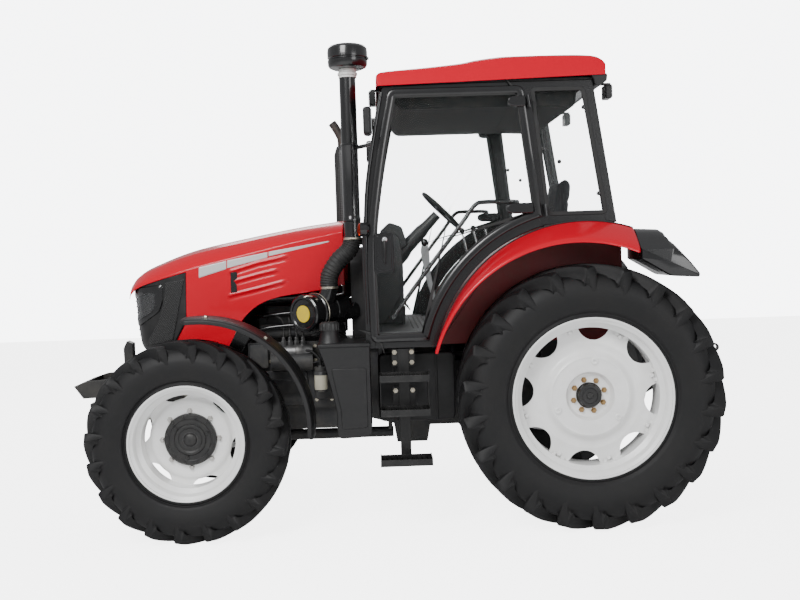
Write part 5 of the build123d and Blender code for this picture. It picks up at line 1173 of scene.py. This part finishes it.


# ---- Roof ----------------------------------------------------------------------------
# A red moulded shell with a raised rear half, turned down at its edges, over a near-black
# lining: painted shade under the roof.
roof_red = coated("roof_red", (0.56, 0.0008, 0.018), 0.34, dust=0.08, dust_colour=(0.40, 0.02, 0.025),
                  scale=3.0, bump=0.05, coat=0.05, shine=0.12)
crown = smooth_line([(1.158, 2.580), (1.150, 2.606), (1.104, 2.622), (0.872, 2.639), (0.685, 2.656),
                     (0.592, 2.672), (0.498, 2.683), (0.405, 2.6885), (0.126, 2.6890), (-0.030, 2.684),
                     (-0.100, 2.671), (-0.135, 2.640), (-0.1505, 2.590)], 120)
under = smooth_line([(1.1660, 2.538), (1.1670, 2.530), (1.100, 2.530), (0.500, 2.545), (-0.060, 2.558),
                     (-0.140, 2.560), (-0.1515, 2.566)], 120)
t = np.abs(np.linspace(-1, 1, 61))
rise = (1 - t ** 36) ** (1 / 2.5)
low = under[:, 1, None] + 0.012
x = np.clip(crown[:, 0, None], -0.1515 + 0.020 * t ** 16, 1.167 - 0.020 * t ** 16)
shell = points_at(x + rear_x, 0.834 * np.linspace(-1, 1, 61), low + (crown[:, 1, None] - low) * rise)
hem = np.interp(shell[..., 0] - rear_x, [-0.15, 1.165], [2.562, 2.532])
surface("roof_shell", "chassis", roof_red, (shell, False, False),
        *[(np.stack([edge, points_at(edge[:, 0], edge[:, 1], low)]), False, False)
          for edge, low in ((shell[0], hem[0]), (shell[-1], hem[-1]), (shell[:, 0], hem[:, 0]),
                            (shell[:, -1], hem[:, -1]))],
        replaces=("cab_roof",), sharp=40, slot="roof_red")
tray = coated("roof_tray", (0.004, 0.004, 0.0045), 0.4, dust=0.1, dust_colour=(0.03, 0.03, 0.03),
              scale=9.0, bump=0.1)
prisms("roof_rear_tray", "chassis", tray,
       ("y", -0.826, 0.826, rounded([(-0.146, 2.568), (-0.143, 2.527), (-0.101, 2.502), (-0.076, 2.505),
                                     (-0.068, 2.541), (-0.050, 2.568)], 0.012, 5)),
       bevel=0.012, slot="cab_black")
# The lining panel and the deep block under its front are near black: painted shade under the roof.
painted_shade_lining = coated("roof_lining", (0.008, 0.008, 0.009), 0.85, dust=0.1, scale=20.0, bump=0.4, grain=0.002)
prisms("roof_lining_panel", "chassis", painted_shade_lining,
       ("z", 2.5415, 2.5565, rounded(box(-0.12, 1.13, -0.80, 0.80), 0.05, 6)),
       ("y", -0.700, 0.700, rounded([(0.02, 2.40), (0.30, 2.415), (1.02, 2.415), (1.06, 2.46),
                                     (1.06, 2.530), (0.00, 2.530)], 0.03, 5)),
       bevel=0.004, slot="cab_black")


# ---- Rear fenders --------------------------------------------------------------------
# Pressed sheet over each rear wheel: welded to the cab along the arch, rolled outward and
# down to a folded lip. Gloss red on top; in the wheel well the same red made much darker as
# painted shade under the sheet, with dust over it.
fender_red = coated("fender_red", (0.55, 0.0008, 0.016), 0.20, dust=0.06, dust_colour=(0.30, 0.02, 0.02),
                    scale=3.0, coat=0.25, bump=0.03, shine=0.2)
# The well's red is the flare's red darkened as painted shade under the sheet, with dust on it.
shade_and_dust_well_red = coated("shade_and_dust_well_red", (0.16, 0.004, 0.005), 0.45, dust=0.45, dust_colour=(0.12, 0.05, 0.04),
                  scale=8.0, bump=0.15)
for side, hand in sides:
    t = np.linspace(0, 1, 121)[:, None]
    # Seam arc beside the cab, and lip arc at the outer edge.
    seam = np.radians(10.3 + (108.9 - 10.3) * t)
    lip = np.radians(17.0 + (113.5 - 17.0) * t)
    seam_x, seam_z = arch_x + 0.856 * np.cos(seam), arch_z + 0.856 * np.sin(seam)
    lip_x, lip_z = 0.068 + 0.847 * np.cos(lip), 0.789 + 0.847 * np.sin(lip)
    # Across the section: how far from seam to lip, and how far the sheet stands above the
    # straight line between them.
    across = np.array([0.0, 0.05, 0.15, 0.30, 0.50, 0.70, 0.86, 0.93, 0.97, 1.0, 1.0, 0.985, 0.93])[None]
    swell = np.array([0.0, 0.003, 0.006, 0.009, 0.011, 0.011, 0.009, 0.006, 0.002, -0.005, -0.017, -0.018,
                      -0.006])[None]
    x = seam_x + (lip_x - seam_x) * across
    z = seam_z + (lip_z - seam_z) * across
    y = 0.828 + (0.993 - 0.828) * across
    out_x, out_z = np.cos((seam + lip) / 2), np.sin((seam + lip) / 2)
    top = points_at(x + swell * out_x * 0.75 + rear_x, hand * y, z + swell * out_z * 0.75)
    surface(f"fender_flare_{side}", "chassis", fender_red, (top, False, False),
            replaces=(f"rear_fender_{side}",), wall=0.0035, sharp=50, slot="body_red")
    # Roof of the well from the seam in to the cab wall, and the wall itself.
    depth = np.array([0.828, 0.800, 0.700, 0.600, 0.5815])[None]
    roof = points_at(arch_x + 0.853 * np.cos(seam) + rear_x, hand * depth, arch_z + 0.853 * np.sin(seam))
    surface(f"fender_well_{side}", "chassis", shade_and_dust_well_red, (roof, False, False), wall=0.003, sharp=50,
            slot="body_red")
    wall = np.vstack([arc(0.850, 10.4, 108.5, 60), [(-0.262, 1.050), (0.842, 1.050)]])
    prisms(f"fender_wall_{side}", "chassis", shade_and_dust_well_red, slab(hand, 0.5635, 0.5795, wall), bevel=0.0,
           slot="body_red")
    # Rubber bead where the flare meets the cab.
    bead = points_at(arch_x + 0.8585 * np.cos(seam[:, 0]), hand * 0.8275,
                     arch_z + 0.8585 * np.sin(seam[:, 0]))
    surface(f"fender_bead_{side}", "chassis", seal, tube(bead, 0.0035, 8), slot="cab_black")


# ---- Tail lamps ----------------------------------------------------------------------
# A black moulded housing behind each fender, sloped outward on top, with a stop and turn
# lens facing the rear.
stop_red = clear("stop_lens", (0.55, 0.01, 0.01), 0.92, roughness=0.12)
turn_amber = clear("turn_lens", (0.95, 0.35, 0.02), 0.92, roughness=0.12)
for side, hand in sides:
    shape = rounded([(-0.277, 1.521), (-0.277, 1.692), (-0.419, 1.684), (-0.448, 1.620), (-0.555, 1.494),
                     (-0.603, 1.433), (-0.599, 1.412), (-0.442, 1.422), (-0.330, 1.490)],
                     [0.006, 0.006, 0.02, 0.03, 0.02, 0.012, 0.012, 0.02, 0.03], 5)
    rows = []
    for y, shrink in ((0.642, 0.010), (0.646, 0.003), (0.655, 0.0), (0.828, 0.0), (0.870, 0.0),
                      (0.910, 0.0), (0.950, 0.0), (0.978, 0.0), (0.988, 0.004), (0.991, 0.010)):
        line = inset(shape, shrink)
        slope = 1.700 - max(y - 0.828, 0) * 0.78
        rows.append(points_at(line[:, 0] + rear_x, hand * y, np.minimum(line[:, 1], slope)))
    rows = [rows[0].mean(0) + 0 * rows[0]] + rows + [rows[-1].mean(0) + 0 * rows[-1]]
    surface(f"tail_lamp_{side}", "chassis", gloss_black, (np.stack(rows), False, True), sharp=38,
            replaces=("tail_lamps",) if side == "left" else (), slot="lamp_red")
    lens = [slab(hand, lo, hi, [(-0.581, 1.453), (-0.588, 1.459), (-0.470, 1.601), (-0.463, 1.595)])
            for lo, hi in ((0.665, 0.790), (0.800, 0.930))]
    prisms(f"stop_lens_{side}", "chassis", stop_red, lens[0], bevel=0.002, slot="lamp_red")
    prisms(f"turn_lens_{side}", "chassis", turn_amber, lens[1], bevel=0.002, slot="lamp_red")


# ---- Driver's place ------------------------------------------------------------------
# A suspended seat in woven fabric, a dash cowl on the tilted column, levers and pedals, all
# over a ribbed rubber mat.
cowl_grey = coated("cowl_grey", (0.035, 0.036, 0.038), 0.35, dust=0.1, scale=12.0, bump=0.1, grain=0.0012)
cloth, tree, skin = shader("seat_cloth")
where = node(tree, "ShaderNodeTexCoord")
threads = node(tree, "ShaderNodeTexBrick", Scale=90.0, Mortar_Size=0.03, Brick_Width=0.5, Row_Height=0.5,
               Color1=(0.020, 0.020, 0.023, 1), Color2=(0.045, 0.045, 0.050, 1),
               Mortar=(0.008, 0.008, 0.009, 1))
raised = node(tree, "ShaderNodeBump", Strength=0.4, Distance=0.0008)
set_inputs(skin, Roughness=0.92)
join(tree, (where, "Object", threads, "Vector"), (threads, "Color", skin, "Base Color"),
     (threads, "Fac", raised, "Height"), (raised, "Normal", skin, "Normal"))


def cushion(name, middle, size, tilt, crown, swell, seams, replaced=()):
    """Stuffed pad: a rounded block whose top is crowned and whose sides pull in between the
    corners, swelled by a cloth simulation whose reach is capped, then creased along sewn
    channels across its width. Tilt turns it about a sideways line through its middle, in
    degrees."""
    length, width, thick = size
    rows = []
    count = 33
    u, v = np.meshgrid(np.linspace(-1, 1, count), np.linspace(-1, 1, count), indexing="ij")
    edge = 1 - np.maximum(np.abs(u), np.abs(v)) ** 8
    pull = 1 - 0.05 * np.cos(u * pi / 2) ** 2 * np.abs(v) ** 3
    pull_u = 1 - 0.05 * np.cos(v * pi / 2) ** 2 * np.abs(u) ** 3
    for sign in (1, -1):
        domed = crown * (1 - u ** 2) * (1 - v ** 2) if sign > 0 else 0
        height = sign * thick / 2 * np.sqrt(np.clip(edge, 0, 1)) * (1 + domed)
        grid = points_at(u * length / 2 * pull_u, v * width / 2 * pull, height)
        rows.append(grid if sign > 0 else grid[:, ::-1])
    a = radians(tilt)
    mesh = bpy.data.meshes.new(name)
    points = np.concatenate([g.reshape(-1, 3) for g in rows])
    k = np.arange(count * count).reshape(count, count)
    quads = [np.stack([k[:-1, :-1], k[1:, :-1], k[1:, 1:], k[:-1, 1:]], -1).reshape(-1, 4) + n * k.size
             for n in (0, 1)]
    mesh.from_pydata(points.tolist(), [], np.concatenate(quads).tolist())
    mesh.update()
    piece = bpy.data.objects.new(name, mesh)
    bpy.context.scene.collection.objects.link(piece)
    work = bmesh.new()
    work.from_mesh(mesh)
    bmesh.ops.remove_doubles(work, verts=work.verts, dist=0.0005)
    bmesh.ops.recalc_face_normals(work, faces=work.faces)
    work.to_mesh(mesh)
    work.free()
    bpy.context.view_layer.objects.active = piece
    piece.select_set(True)
    remesh = piece.modifiers.new("voxels", "REMESH")
    remesh.mode, remesh.voxel_size = "VOXEL", 0.009
    bpy.ops.object.modifier_apply(modifier=remesh.name)
    start = np.empty(len(piece.data.vertices) * 3)
    piece.data.vertices.foreach_get("co", start)
    cloth_mod = piece.modifiers.new("swell", "CLOTH")
    settings = cloth_mod.settings
    settings.use_pressure, settings.uniform_pressure_force = True, 4.0
    settings.effector_weights.gravity = 0
    scene_now = bpy.context.scene
    for step in range(1, 13):
        scene_now.frame_set(step)
    bpy.ops.object.modifier_apply(modifier=cloth_mod.name)
    end = np.empty_like(start)
    piece.data.vertices.foreach_get("co", end)
    move = (end - start).reshape(-1, 3)
    far = np.linalg.norm(move, axis=1, keepdims=True)
    share = np.minimum(1, swell / np.maximum(far, 1e-9))
    piece.data.vertices.foreach_set("co", (start.reshape(-1, 3) + move * share).ravel())
    co = np.empty(len(piece.data.vertices) * 3)
    piece.data.vertices.foreach_get("co", co)
    co = co.reshape(-1, 3)
    top = np.clip(co[:, 2] / (thick / 2), 0, 1)
    for line in seams:
        co[:, 2] -= 0.007 * np.exp(-((co[:, 0] / (length / 2) - line) / 0.05) ** 2) * top
    for line in (-0.62, 0.62):
        co[:, 2] -= 0.006 * np.exp(-((co[:, 1] / (width / 2) - line) / 0.045) ** 2) * top
    turned_co = points_at(co[:, 0] * np.cos(a) - co[:, 2] * np.sin(a), co[:, 1],
                          co[:, 0] * np.sin(a) + co[:, 2] * np.cos(a))
    turned_co += (middle[0] + rear_x, middle[1], middle[2])
    piece.data.vertices.foreach_set("co", turned_co.ravel())
    piece.data.materials.append(cloth)
    piece.data.shade_smooth()
    smooth = piece.modifiers.new("smooth", "SUBSURF")
    smooth.levels = smooth.render_levels = 1
    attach(piece, "chassis")
    if replaced:
        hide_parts(*replaced)


cushion("seat_cushion", (0.222, 0.0, 1.528), (0.44, 0.460, 0.086), 4, 0.18, 0.010, (-0.30, 0.25), ("seat",))
cushion("seat_back", (0.020, 0.0, 1.800), (0.46, 0.440, 0.072), 98, 0.16, 0.008, (-0.55, -0.1, 0.4))
prisms("seat_pan", "chassis", gloss_black,
       ("y", -0.225, 0.225, rounded([(0.010, 1.473), (0.400, 1.473), (0.425, 1.486), (0.020, 1.486)],
                                    0.004, 3)), bevel=0.004, slot="cab_black")
prisms("dash_cowl", "chassis", cowl_grey,
       ("y", -0.170, 0.170, rounded([(1.020, 1.149), (1.195, 1.149), (1.190, 1.500), (1.165, 1.722),
                                     (1.040, 1.724), (1.020, 1.560)],
                                    [0.01, 0.01, 0.1, 0.05, 0.06, 0.08], 8)),
       ("y", -0.120, 0.120, rounded([(0.985, 1.640), (1.060, 1.600), (1.165, 1.730), (1.100, 1.790),
                                     (1.020, 1.760)], 0.02, 6)),
       bevel=0.022, sharp=60, slot="guard_black")
prisms("side_console", "chassis", cowl_grey,
       ("y", -0.560, -0.302, rounded([(0.062, 1.333), (0.330, 1.333), (0.430, 1.254), (0.638, 1.254),
                                      (0.600, 1.556), (0.102, 1.636)], 0.03, 6)),
       ("y", -0.168, 0.168, rounded([(0.062, 1.333), (0.298, 1.333), (0.376, 1.468), (0.024, 1.468)],
                                    0.012, 4)),
       bevel=0.012, replaces=("controls",), slot="guard_black")
tilt = radians(45)
axis = np.array([-sin(tilt), 0, cos(tilt)])
surface("steering_column", "chassis", cowl_grey,
        turned((1.060, 0, 1.560), axis, [(-0.06, 0.0), (-0.06, 0.060), (0.05, 0.058), (0.10, 0.046),
                                         (0.24, 0.042), (0.28, 0.034), (0.385, 0.030), (0.385, 0.0)], 28),
        slot="guard_black")
levers = (((0.560, -0.360, 1.555), (0.600, -0.360, 1.720)), ((0.480, -0.400, 1.570), (0.520, -0.400, 1.735)),
          ((0.400, -0.440, 1.585), (0.435, -0.440, 1.745)))
surface("lever_rods", "chassis", chrome,
        *[tube(np.linspace(foot, tip, 6), 0.006, 12) for foot, tip in levers], slot="zinc")
lever_grey = coated("lever_grey", (0.42, 0.43, 0.44), 0.45, dust=0.2, scale=18.0, bump=0.1)
prisms("gear_lever", "chassis", lever_grey,
       ("y", 0.088, 0.112, rounded([(0.808, 1.258), (0.826, 1.250), (0.880, 1.440), (0.905, 1.600),
                                    (0.898, 1.640), (0.862, 1.640), (0.850, 1.600), (0.845, 1.460)], 0.02,
                                    5)),
       ("y", 0.092, 0.108, [(0.806, 1.149), (0.826, 1.149), (0.828, 1.262), (0.812, 1.262)]), bevel=0.006,
       slot="zinc")
knob = np.array([(0, 0), (0, 0.5), (0.5, 0.85), (1.1, 1), (1.7, 0.8), (2.0, 0.4), (2.05, 0)])
surface("lever_knobs", "chassis", gloss_black,
        *[turned(np.subtract(tip, (0, 0, 0.01)), (0, 0, 1), knob * size, 20)
          for tip, size in (*((tip, 0.019) for foot, tip in levers), ((0.878, 0.100, 1.640), 0.024))],
        slot="guard_black")
pedals = []
for x, y in ((1.010, 0.190), (1.010, -0.120), (1.010, -0.210)):
    pedals.append(("y", y - 0.034, y + 0.034, [(x - 0.028, 1.240), (x + 0.020, 1.296), (x + 0.027, 1.290),
                                               (x - 0.021, 1.234)]))
    pedals.append(("y", y - 0.007, y + 0.007, [(x + 0.002, 1.262), (x + 0.012, 1.262), (x + 0.026, 1.149),
                                               (x + 0.010, 1.149)]))
prisms("pedals", "chassis", gloss_black, *pedals, bevel=0.002, slot="guard_black")
ribs_on_mat = [("x", x - 0.004, x + 0.004, box(-0.50, 0.50, 1.1448, 1.1478))
               for x in np.arange(0.62, 1.0, 0.03)]
prisms("mat_ribs", "chassis", seal, *ribs_on_mat, bevel=0.0, slot="floor_grey")

# Steering wheel: a soft rim on three spokes, turned about its own column.
wheel_ahead = np.array([cos(tilt), 0, sin(tilt)])
wheel_middle = np.array([0.760, 0, 1.857])


def on_wheel(across, ahead, up):
    """Point of the steering wheel's plane, to the left and forward of its middle, raised
    along its column."""
    across, ahead, up = (np.asarray(part)[..., None] for part in np.broadcast_arrays(across, ahead, up))
    return wheel_middle + (rear_x, 0, 0) + ahead * wheel_ahead + across * (0, 1.0, 0) + up * axis


a = np.arange(96) / 96 * 2 * pi
b = np.arange(14) / 14 * 2 * pi
A, B = np.meshgrid(a, b, indexing="ij")
reach = 0.1520 + 0.0150 * np.cos(B)
rim = on_wheel(reach * np.cos(A), reach * np.sin(A), 0.0120 * np.sin(B))
surface("steering_rim", "steering_wheel", rubber_black, (rim, True, True), replaces=("steering_wheel",),
        sharp=80, slot="wheel_rim_black")
spokes = []
for k in range(3):
    turn_k = (k - 1) * radians(105) - pi / 2
    r = np.linspace(0.02, 0.144, 12)
    half = np.interp(r, [0.02, 0.07, 0.144], [0.034, 0.022, 0.026])
    ring_a = []
    for sx, sz in ((-1, -1), (1, -1), (1, 1), (-1, 1)):
        ring_a.append(on_wheel(r * cos(turn_k) - sx * half * sin(turn_k),
                               r * sin(turn_k) + sx * half * cos(turn_k), sz * 0.0035))
    grid = np.stack(ring_a, 1)
    ends = [grid[k:k + 1].mean(1, keepdims=True) + 0 * grid[k:k + 1] for k in (0, 11)]
    grid = np.concatenate([ends[0], grid, ends[1]])
    spokes.append((grid, False, True))
surface("steering_spokes", "steering_wheel", gloss_black, *spokes, slot="wheel_rim_black")
surface("steering_boss", "steering_wheel", gloss_black,
        turned(wheel_middle - 0.020 * axis, axis, [(0, 0), (0, 0.030), (0.012, 0.040), (0.020, 0.051),
                                                   (0.028, 0.050), (0.032, 0.040), (0.0335, 0)], 40),
        slot="wheel_rim_black")


# ---- Mirrors, work lamps and turn lamps ----------------------------------------------
# Moulded mirror heads on short arms, square work lamps under the roof, and a round turn lamp
# on a bracket at each front pillar.
mirror_glass = coated("mirror_silver", (0.75, 0.77, 0.78), 0.03, dust=0.0, metallic=1.0)
for side, hand in sides:
    prisms(f"mirror_head_{side}", "chassis", grained,
           slab(hand, 0.818, 0.960, rounded([(1.190, 2.253), (1.235, 2.257), (1.235, 2.403),
                                             (1.190, 2.407)], 0.018, 5)),
           bevel=0.012, replaces=("mirrors",) if side == "left" else (), slot="mirror_black")
    prisms(f"mirror_plate_{side}", "chassis", mirror_glass,
           ("x", 1.1865, 1.1925, rounded(box(hand * 0.828, hand * 0.950, 2.266, 2.394)[::hand], 0.012, 4)),
           bevel=0.0, slot="zinc")
    surface(f"mirror_arm_{side}", "chassis", gloss_black,
            tube(smooth_line([(1.186, hand * 0.758, 2.313), (1.200, hand * 0.785, 2.313),
                              (1.212, hand * 0.822, 2.316)], 16), 0.0115, 14), slot="mirror_black")
lamp_face = clear("work_lamp_lens", (0.9, 0.92, 0.95), 0.5, roughness=0.05)
shapes, faces = [], []
for x0, x1, face in ((1.161, 1.199, 1.199), (-0.200, -0.163, -0.2045)):
    for y in (-0.640, 0.640):
        shapes.append(("x", x0, x1, rounded(box(y - 0.058, y + 0.058, 2.448, 2.528), 0.014, 5)))
        faces.append(("x", face, face + 0.0045, rounded(box(y - 0.050, y + 0.050, 2.455, 2.521), 0.010, 4)))
for start, end in ((1.134, 1.190), (-0.200, -0.090)):
    for y in (-0.640, 0.640):
        shapes.append(("z", 2.530, 2.5398, box(start, end, y - 0.024, y + 0.024)))
prisms("work_lamp_cases", "chassis", gloss_black, *shapes, bevel=0.004, replaces=("work_lamps",),
       slot="mirror_black")
prisms("work_lamp_faces", "chassis", lamp_face, *faces, bevel=0.001, slot="lamp_clear")
turn_red = clear("turn_lamp_lens", (0.85, 0.05, 0.01), 0.95, roughness=0.15)
for side, hand in sides:
    surface(f"turn_lamp_case_{side}", "chassis", gloss_black,
            turned((1.222, hand * 0.832, 1.736), (1, 0, 0),
                    [(0.0, 0.0), (0.0, 0.030), (0.012, 0.040), (0.045, 0.042), (0.050, 0.038), (0.050, 0)],
                    32),
            slot="mirror_black")
    surface(f"turn_lamp_lens_{side}", "chassis", turn_red,
            turned((1.272, hand * 0.832, 1.736), (1, 0, 0),
                   [(0, 0), (0, 0.037), (0.008, 0.034), (0.014, 0.022), (0.016, 0)], 32), slot="lamp_red")


# ---- Engine dressing -----------------------------------------------------------------
# The iron castings keep their shape from the frame; here are the parts beside them: covers
# and bolts, the pump with its lines, the fuel filter, hoses and pipes, a heat shield, a
# bulkhead and a coolant bottle.
iron = coated("engine_iron", (0.030, 0.031, 0.033), 0.42, dust=0.5, dust_colour=(0.13, 0.12, 0.10),
              scale=9.0, bump=0.5, grain=0.004)
alloy = coated("alloy", (0.20, 0.20, 0.20), 0.38, dust=0.2, metallic=0.85, scale=12.0, bump=0.2, grain=0.003)
filter_white = coated("filter_bowl", (0.70, 0.66, 0.52), 0.35, dust=0.2, scale=10.0)
places = [(x + rear_x, 0.186, z) for z in (1.030, 0.940, 0.850, 0.690) for x in np.arange(1.40, 1.98, 0.095)]
surface("block_bolts", "chassis", zinc, studs(places, hex_head(0.017, 0.009), 6, 1), slot="zinc")
prisms("block_covers", "chassis", iron,
       ("y", 0.180, 0.198, rounded(box(1.380, 1.600, 0.690, 0.900), 0.03, 5)),
       ("y", 0.180, 0.202, rounded(box(1.640, 1.930, 0.660, 0.880), 0.03, 5)),
       ("y", 0.180, 0.212, rounded(box(1.880, 2.000, 0.900, 1.050), 0.02, 5)),
       bevel=0.006, slot="engine_dark")
pump = [turned((1.602, 0.215, 1.000), (1, 0, 0), [(0, 0), (0, 0.042), (0.03, 0.046), (0.06, 0.046),
                                                  (0.065, 0.049), (0.10, 0.049), (0.105, 0.044),
                                                  (0.20, 0.044), (0.205, 0.049), (0.255, 0.049),
                                                  (0.257, 0.0)], 36)]
pump += [turned((x, 0.222, 1.040), (0, 0.25, 1),
                [(0, 0), (0, 0.016), (0.030, 0.016), (0.034, 0.012), (0.052, 0.012), (0.056, 0.008),
                 (0.058, 0)], 6) for x in (1.66, 1.70, 1.74, 1.78)]
surface("pump_body", "chassis", alloy, *pump, slot="zinc")
lines = []
for k, (x, target) in enumerate(((1.66, 1.455), (1.70, 1.60), (1.74, 1.745), (1.78, 1.885))):
    rise = 1.150 + 0.012 * k
    path = smooth_line([(x, 0.236, 1.095), (x, 0.242, rise),
                        (x + (target - x) * 0.35, 0.240, rise + 0.040), (target, 0.190, rise + 0.050),
                        (target, 0.118, 1.195)], 40)
    lines.append(tube(path, 0.0038, 8))
surface("pump_lines", "chassis", alloy, *lines, slot="zinc")
surface("fuel_bowl", "chassis", filter_white,
        turned((1.553, 0.300, 0.760), (0, 0, 1), [(-0.004, 0), (-0.004, 0.022), (0.004, 0.037),
                                                  (0.020, 0.0405), (0.100, 0.0405)], 32), slot="zinc")
surface("fuel_filter_head", "chassis", alloy,
        turned((1.553, 0.300, 0.860), (0, 0, 1), [(0, 0), (0, 0.043), (0.022, 0.043), (0.026, 0.032),
                                                  (0.044, 0.032), (0.046, 0.014), (0.058, 0.014),
                                                  (0.058, 0)], 32), slot="zinc")
hoses = []
for path, r in (([(1.553, 0.300, 0.912), (1.560, 0.300, 0.960), (1.600, 0.285, 1.000),
                  (1.640, 0.262, 1.010)], 0.008),
                ([(1.520, 0.310, 0.880), (1.480, 0.320, 0.860), (1.450, 0.300, 0.780),
                  (1.440, 0.240, 0.700)], 0.008),
                ([(1.960, 0.180, 1.120), (2.020, 0.200, 1.160), (2.100, 0.180, 1.200),
                  (2.170, 0.150, 1.260)], 0.024),
                ([(1.960, 0.160, 0.760), (2.030, 0.190, 0.800), (2.120, 0.190, 0.900),
                  (2.170, 0.160, 0.960)], 0.024),
                ([(1.360, 0.150, 1.000), (1.340, 0.220, 1.020), (1.420, 0.260, 1.100),
                  (1.520, 0.262, 1.120), (1.600, 0.262, 1.100)], 0.009),
                ([(1.350, 0.120, 0.900), (1.345, 0.250, 0.880), (1.440, 0.290, 0.950),
                  (1.620, 0.275, 0.930)], 0.006)):
    hoses.append(tube(smooth_line(path, 40), r, 12))
surface("engine_hoses", "chassis", rubber_black, *hoses, slot="hose_rubber")

shield = coated("heat_shield", (0.020, 0.020, 0.021), 0.5, dust=0.5, dust_colour=(0.07, 0.06, 0.055),
                scale=10.0, metallic=0.3, bump=0.3)
louvres = [("y", -0.262, -0.250, box(x, x + 0.10, z, z + 0.012))
           for x in (1.50, 1.66, 1.82) for z in (1.16, 1.20, 1.24)]
prisms("engine_heat_shield", "chassis", shield,
       ("y", -0.258, -0.254, rounded([(1.420, 1.090), (2.080, 1.090), (2.080, 1.330), (1.960, 1.400),
                                      (1.420, 1.400)], 0.03, 5)),
       *louvres, bevel=0.0012, slot="engine_dark")
prisms("bulkhead", "chassis", shield,
       ("x", 1.268, 1.350, rounded([(-0.320, 1.070), (0.300, 1.070), (0.300, 1.560), (0.200, 1.640),
                                    (-0.200, 1.640), (-0.320, 1.560)], 0.04, 5)),
       bevel=0.002, slot="engine_dark")
surface("charge_pipes", "chassis", gloss_black,
        *[tube(smooth_line(path, 50), r, 18) for path, r in (
            ([(1.400, 0.200, 1.300), (1.520, 0.200, 1.345), (1.700, 0.190, 1.340), (1.880, 0.190, 1.330),
              (2.060, 0.180, 1.290), (2.170, 0.150, 1.250)], 0.034),
            ([(1.440, 0.195, 1.130), (1.500, 0.262, 1.165), (1.680, 0.268, 1.170), (1.900, 0.250, 1.150),
              (2.000, 0.215, 1.090)], 0.013),
            ([(1.380, 0.120, 1.200), (1.420, 0.245, 1.235), (1.620, 0.255, 1.250), (1.860, 0.245, 1.235),
              (1.960, 0.150, 1.220)], 0.010))],
        slot="hose_rubber")
bottle = [(0, 0), (0, 0.045), (0.012, 0.055), (0.130, 0.055), (0.150, 0.040), (0.158, 0.024),
          (0.178, 0.024), (0.180, 0)]
surface("coolant_bottle", "chassis", filter_white, turned((2.130, 0.190, 1.110), (0, 0, 1), bottle, 28),
        slot="zinc")


# ---- Nodes that keep their frame mesh ------------------------------------------------
# Plain castings and plates look as the frame makes them, so they only get their paint.
casting = coated("casting_paint", (0.028, 0.029, 0.031), 0.45, dust=0.5, dust_colour=(0.11, 0.10, 0.085),
                 scale=7.0, bump=0.35, grain=0.004)
frame_paint = coated("frame_paint", (0.016, 0.016, 0.017), 0.34, dust=0.35, dust_colour=(0.10, 0.09, 0.07),
                     scale=7.0, bump=0.15)
mat_rubber = coated("mat_rubber", (0.085, 0.085, 0.088), 0.75, dust=0.3, dust_colour=(0.20, 0.19, 0.17),
                    scale=14.0, bump=0.3)
core = coated("radiator_core", (0.05, 0.05, 0.052), 0.5, dust=0.4, dust_colour=(0.14, 0.13, 0.12),
              metallic=0.5, scale=30.0, bump=0.6, grain=0.002)


def dress(finish, *names):
    """Puts one material on every slot of each named node."""
    for name in names:
        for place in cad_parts[name].material_slots:
            place.material = finish


dress(casting, "front_axle", "knuckle_left", "knuckle_right", "transmission_housing", "rear_axle_housing")
dress(iron, "engine")
dress(frame_paint, "front_frame", "weight_carrier", "lower_links", "lift_arms", "lift_rods", "top_link")
dress(core, "radiator")
dress(zinc, "drawbar")
dress(mat_rubber, "cab_floor")
# Bolts along both sides of the front frame.
for side, hand in sides:
    places = [(x + rear_x, hand * 0.2255, z) for x in (2.40, 2.52, 2.64) for z in (0.62, 0.76)]
    surface(f"frame_bolts_{side}", "chassis", zinc, studs(places, hex_head(0.024, 0.013), 6, hand),
            slot="zinc")
size = {"cad": [list(map(float, c)) for c in cad_box], "dressed": [list(map(float, c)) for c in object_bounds()]}
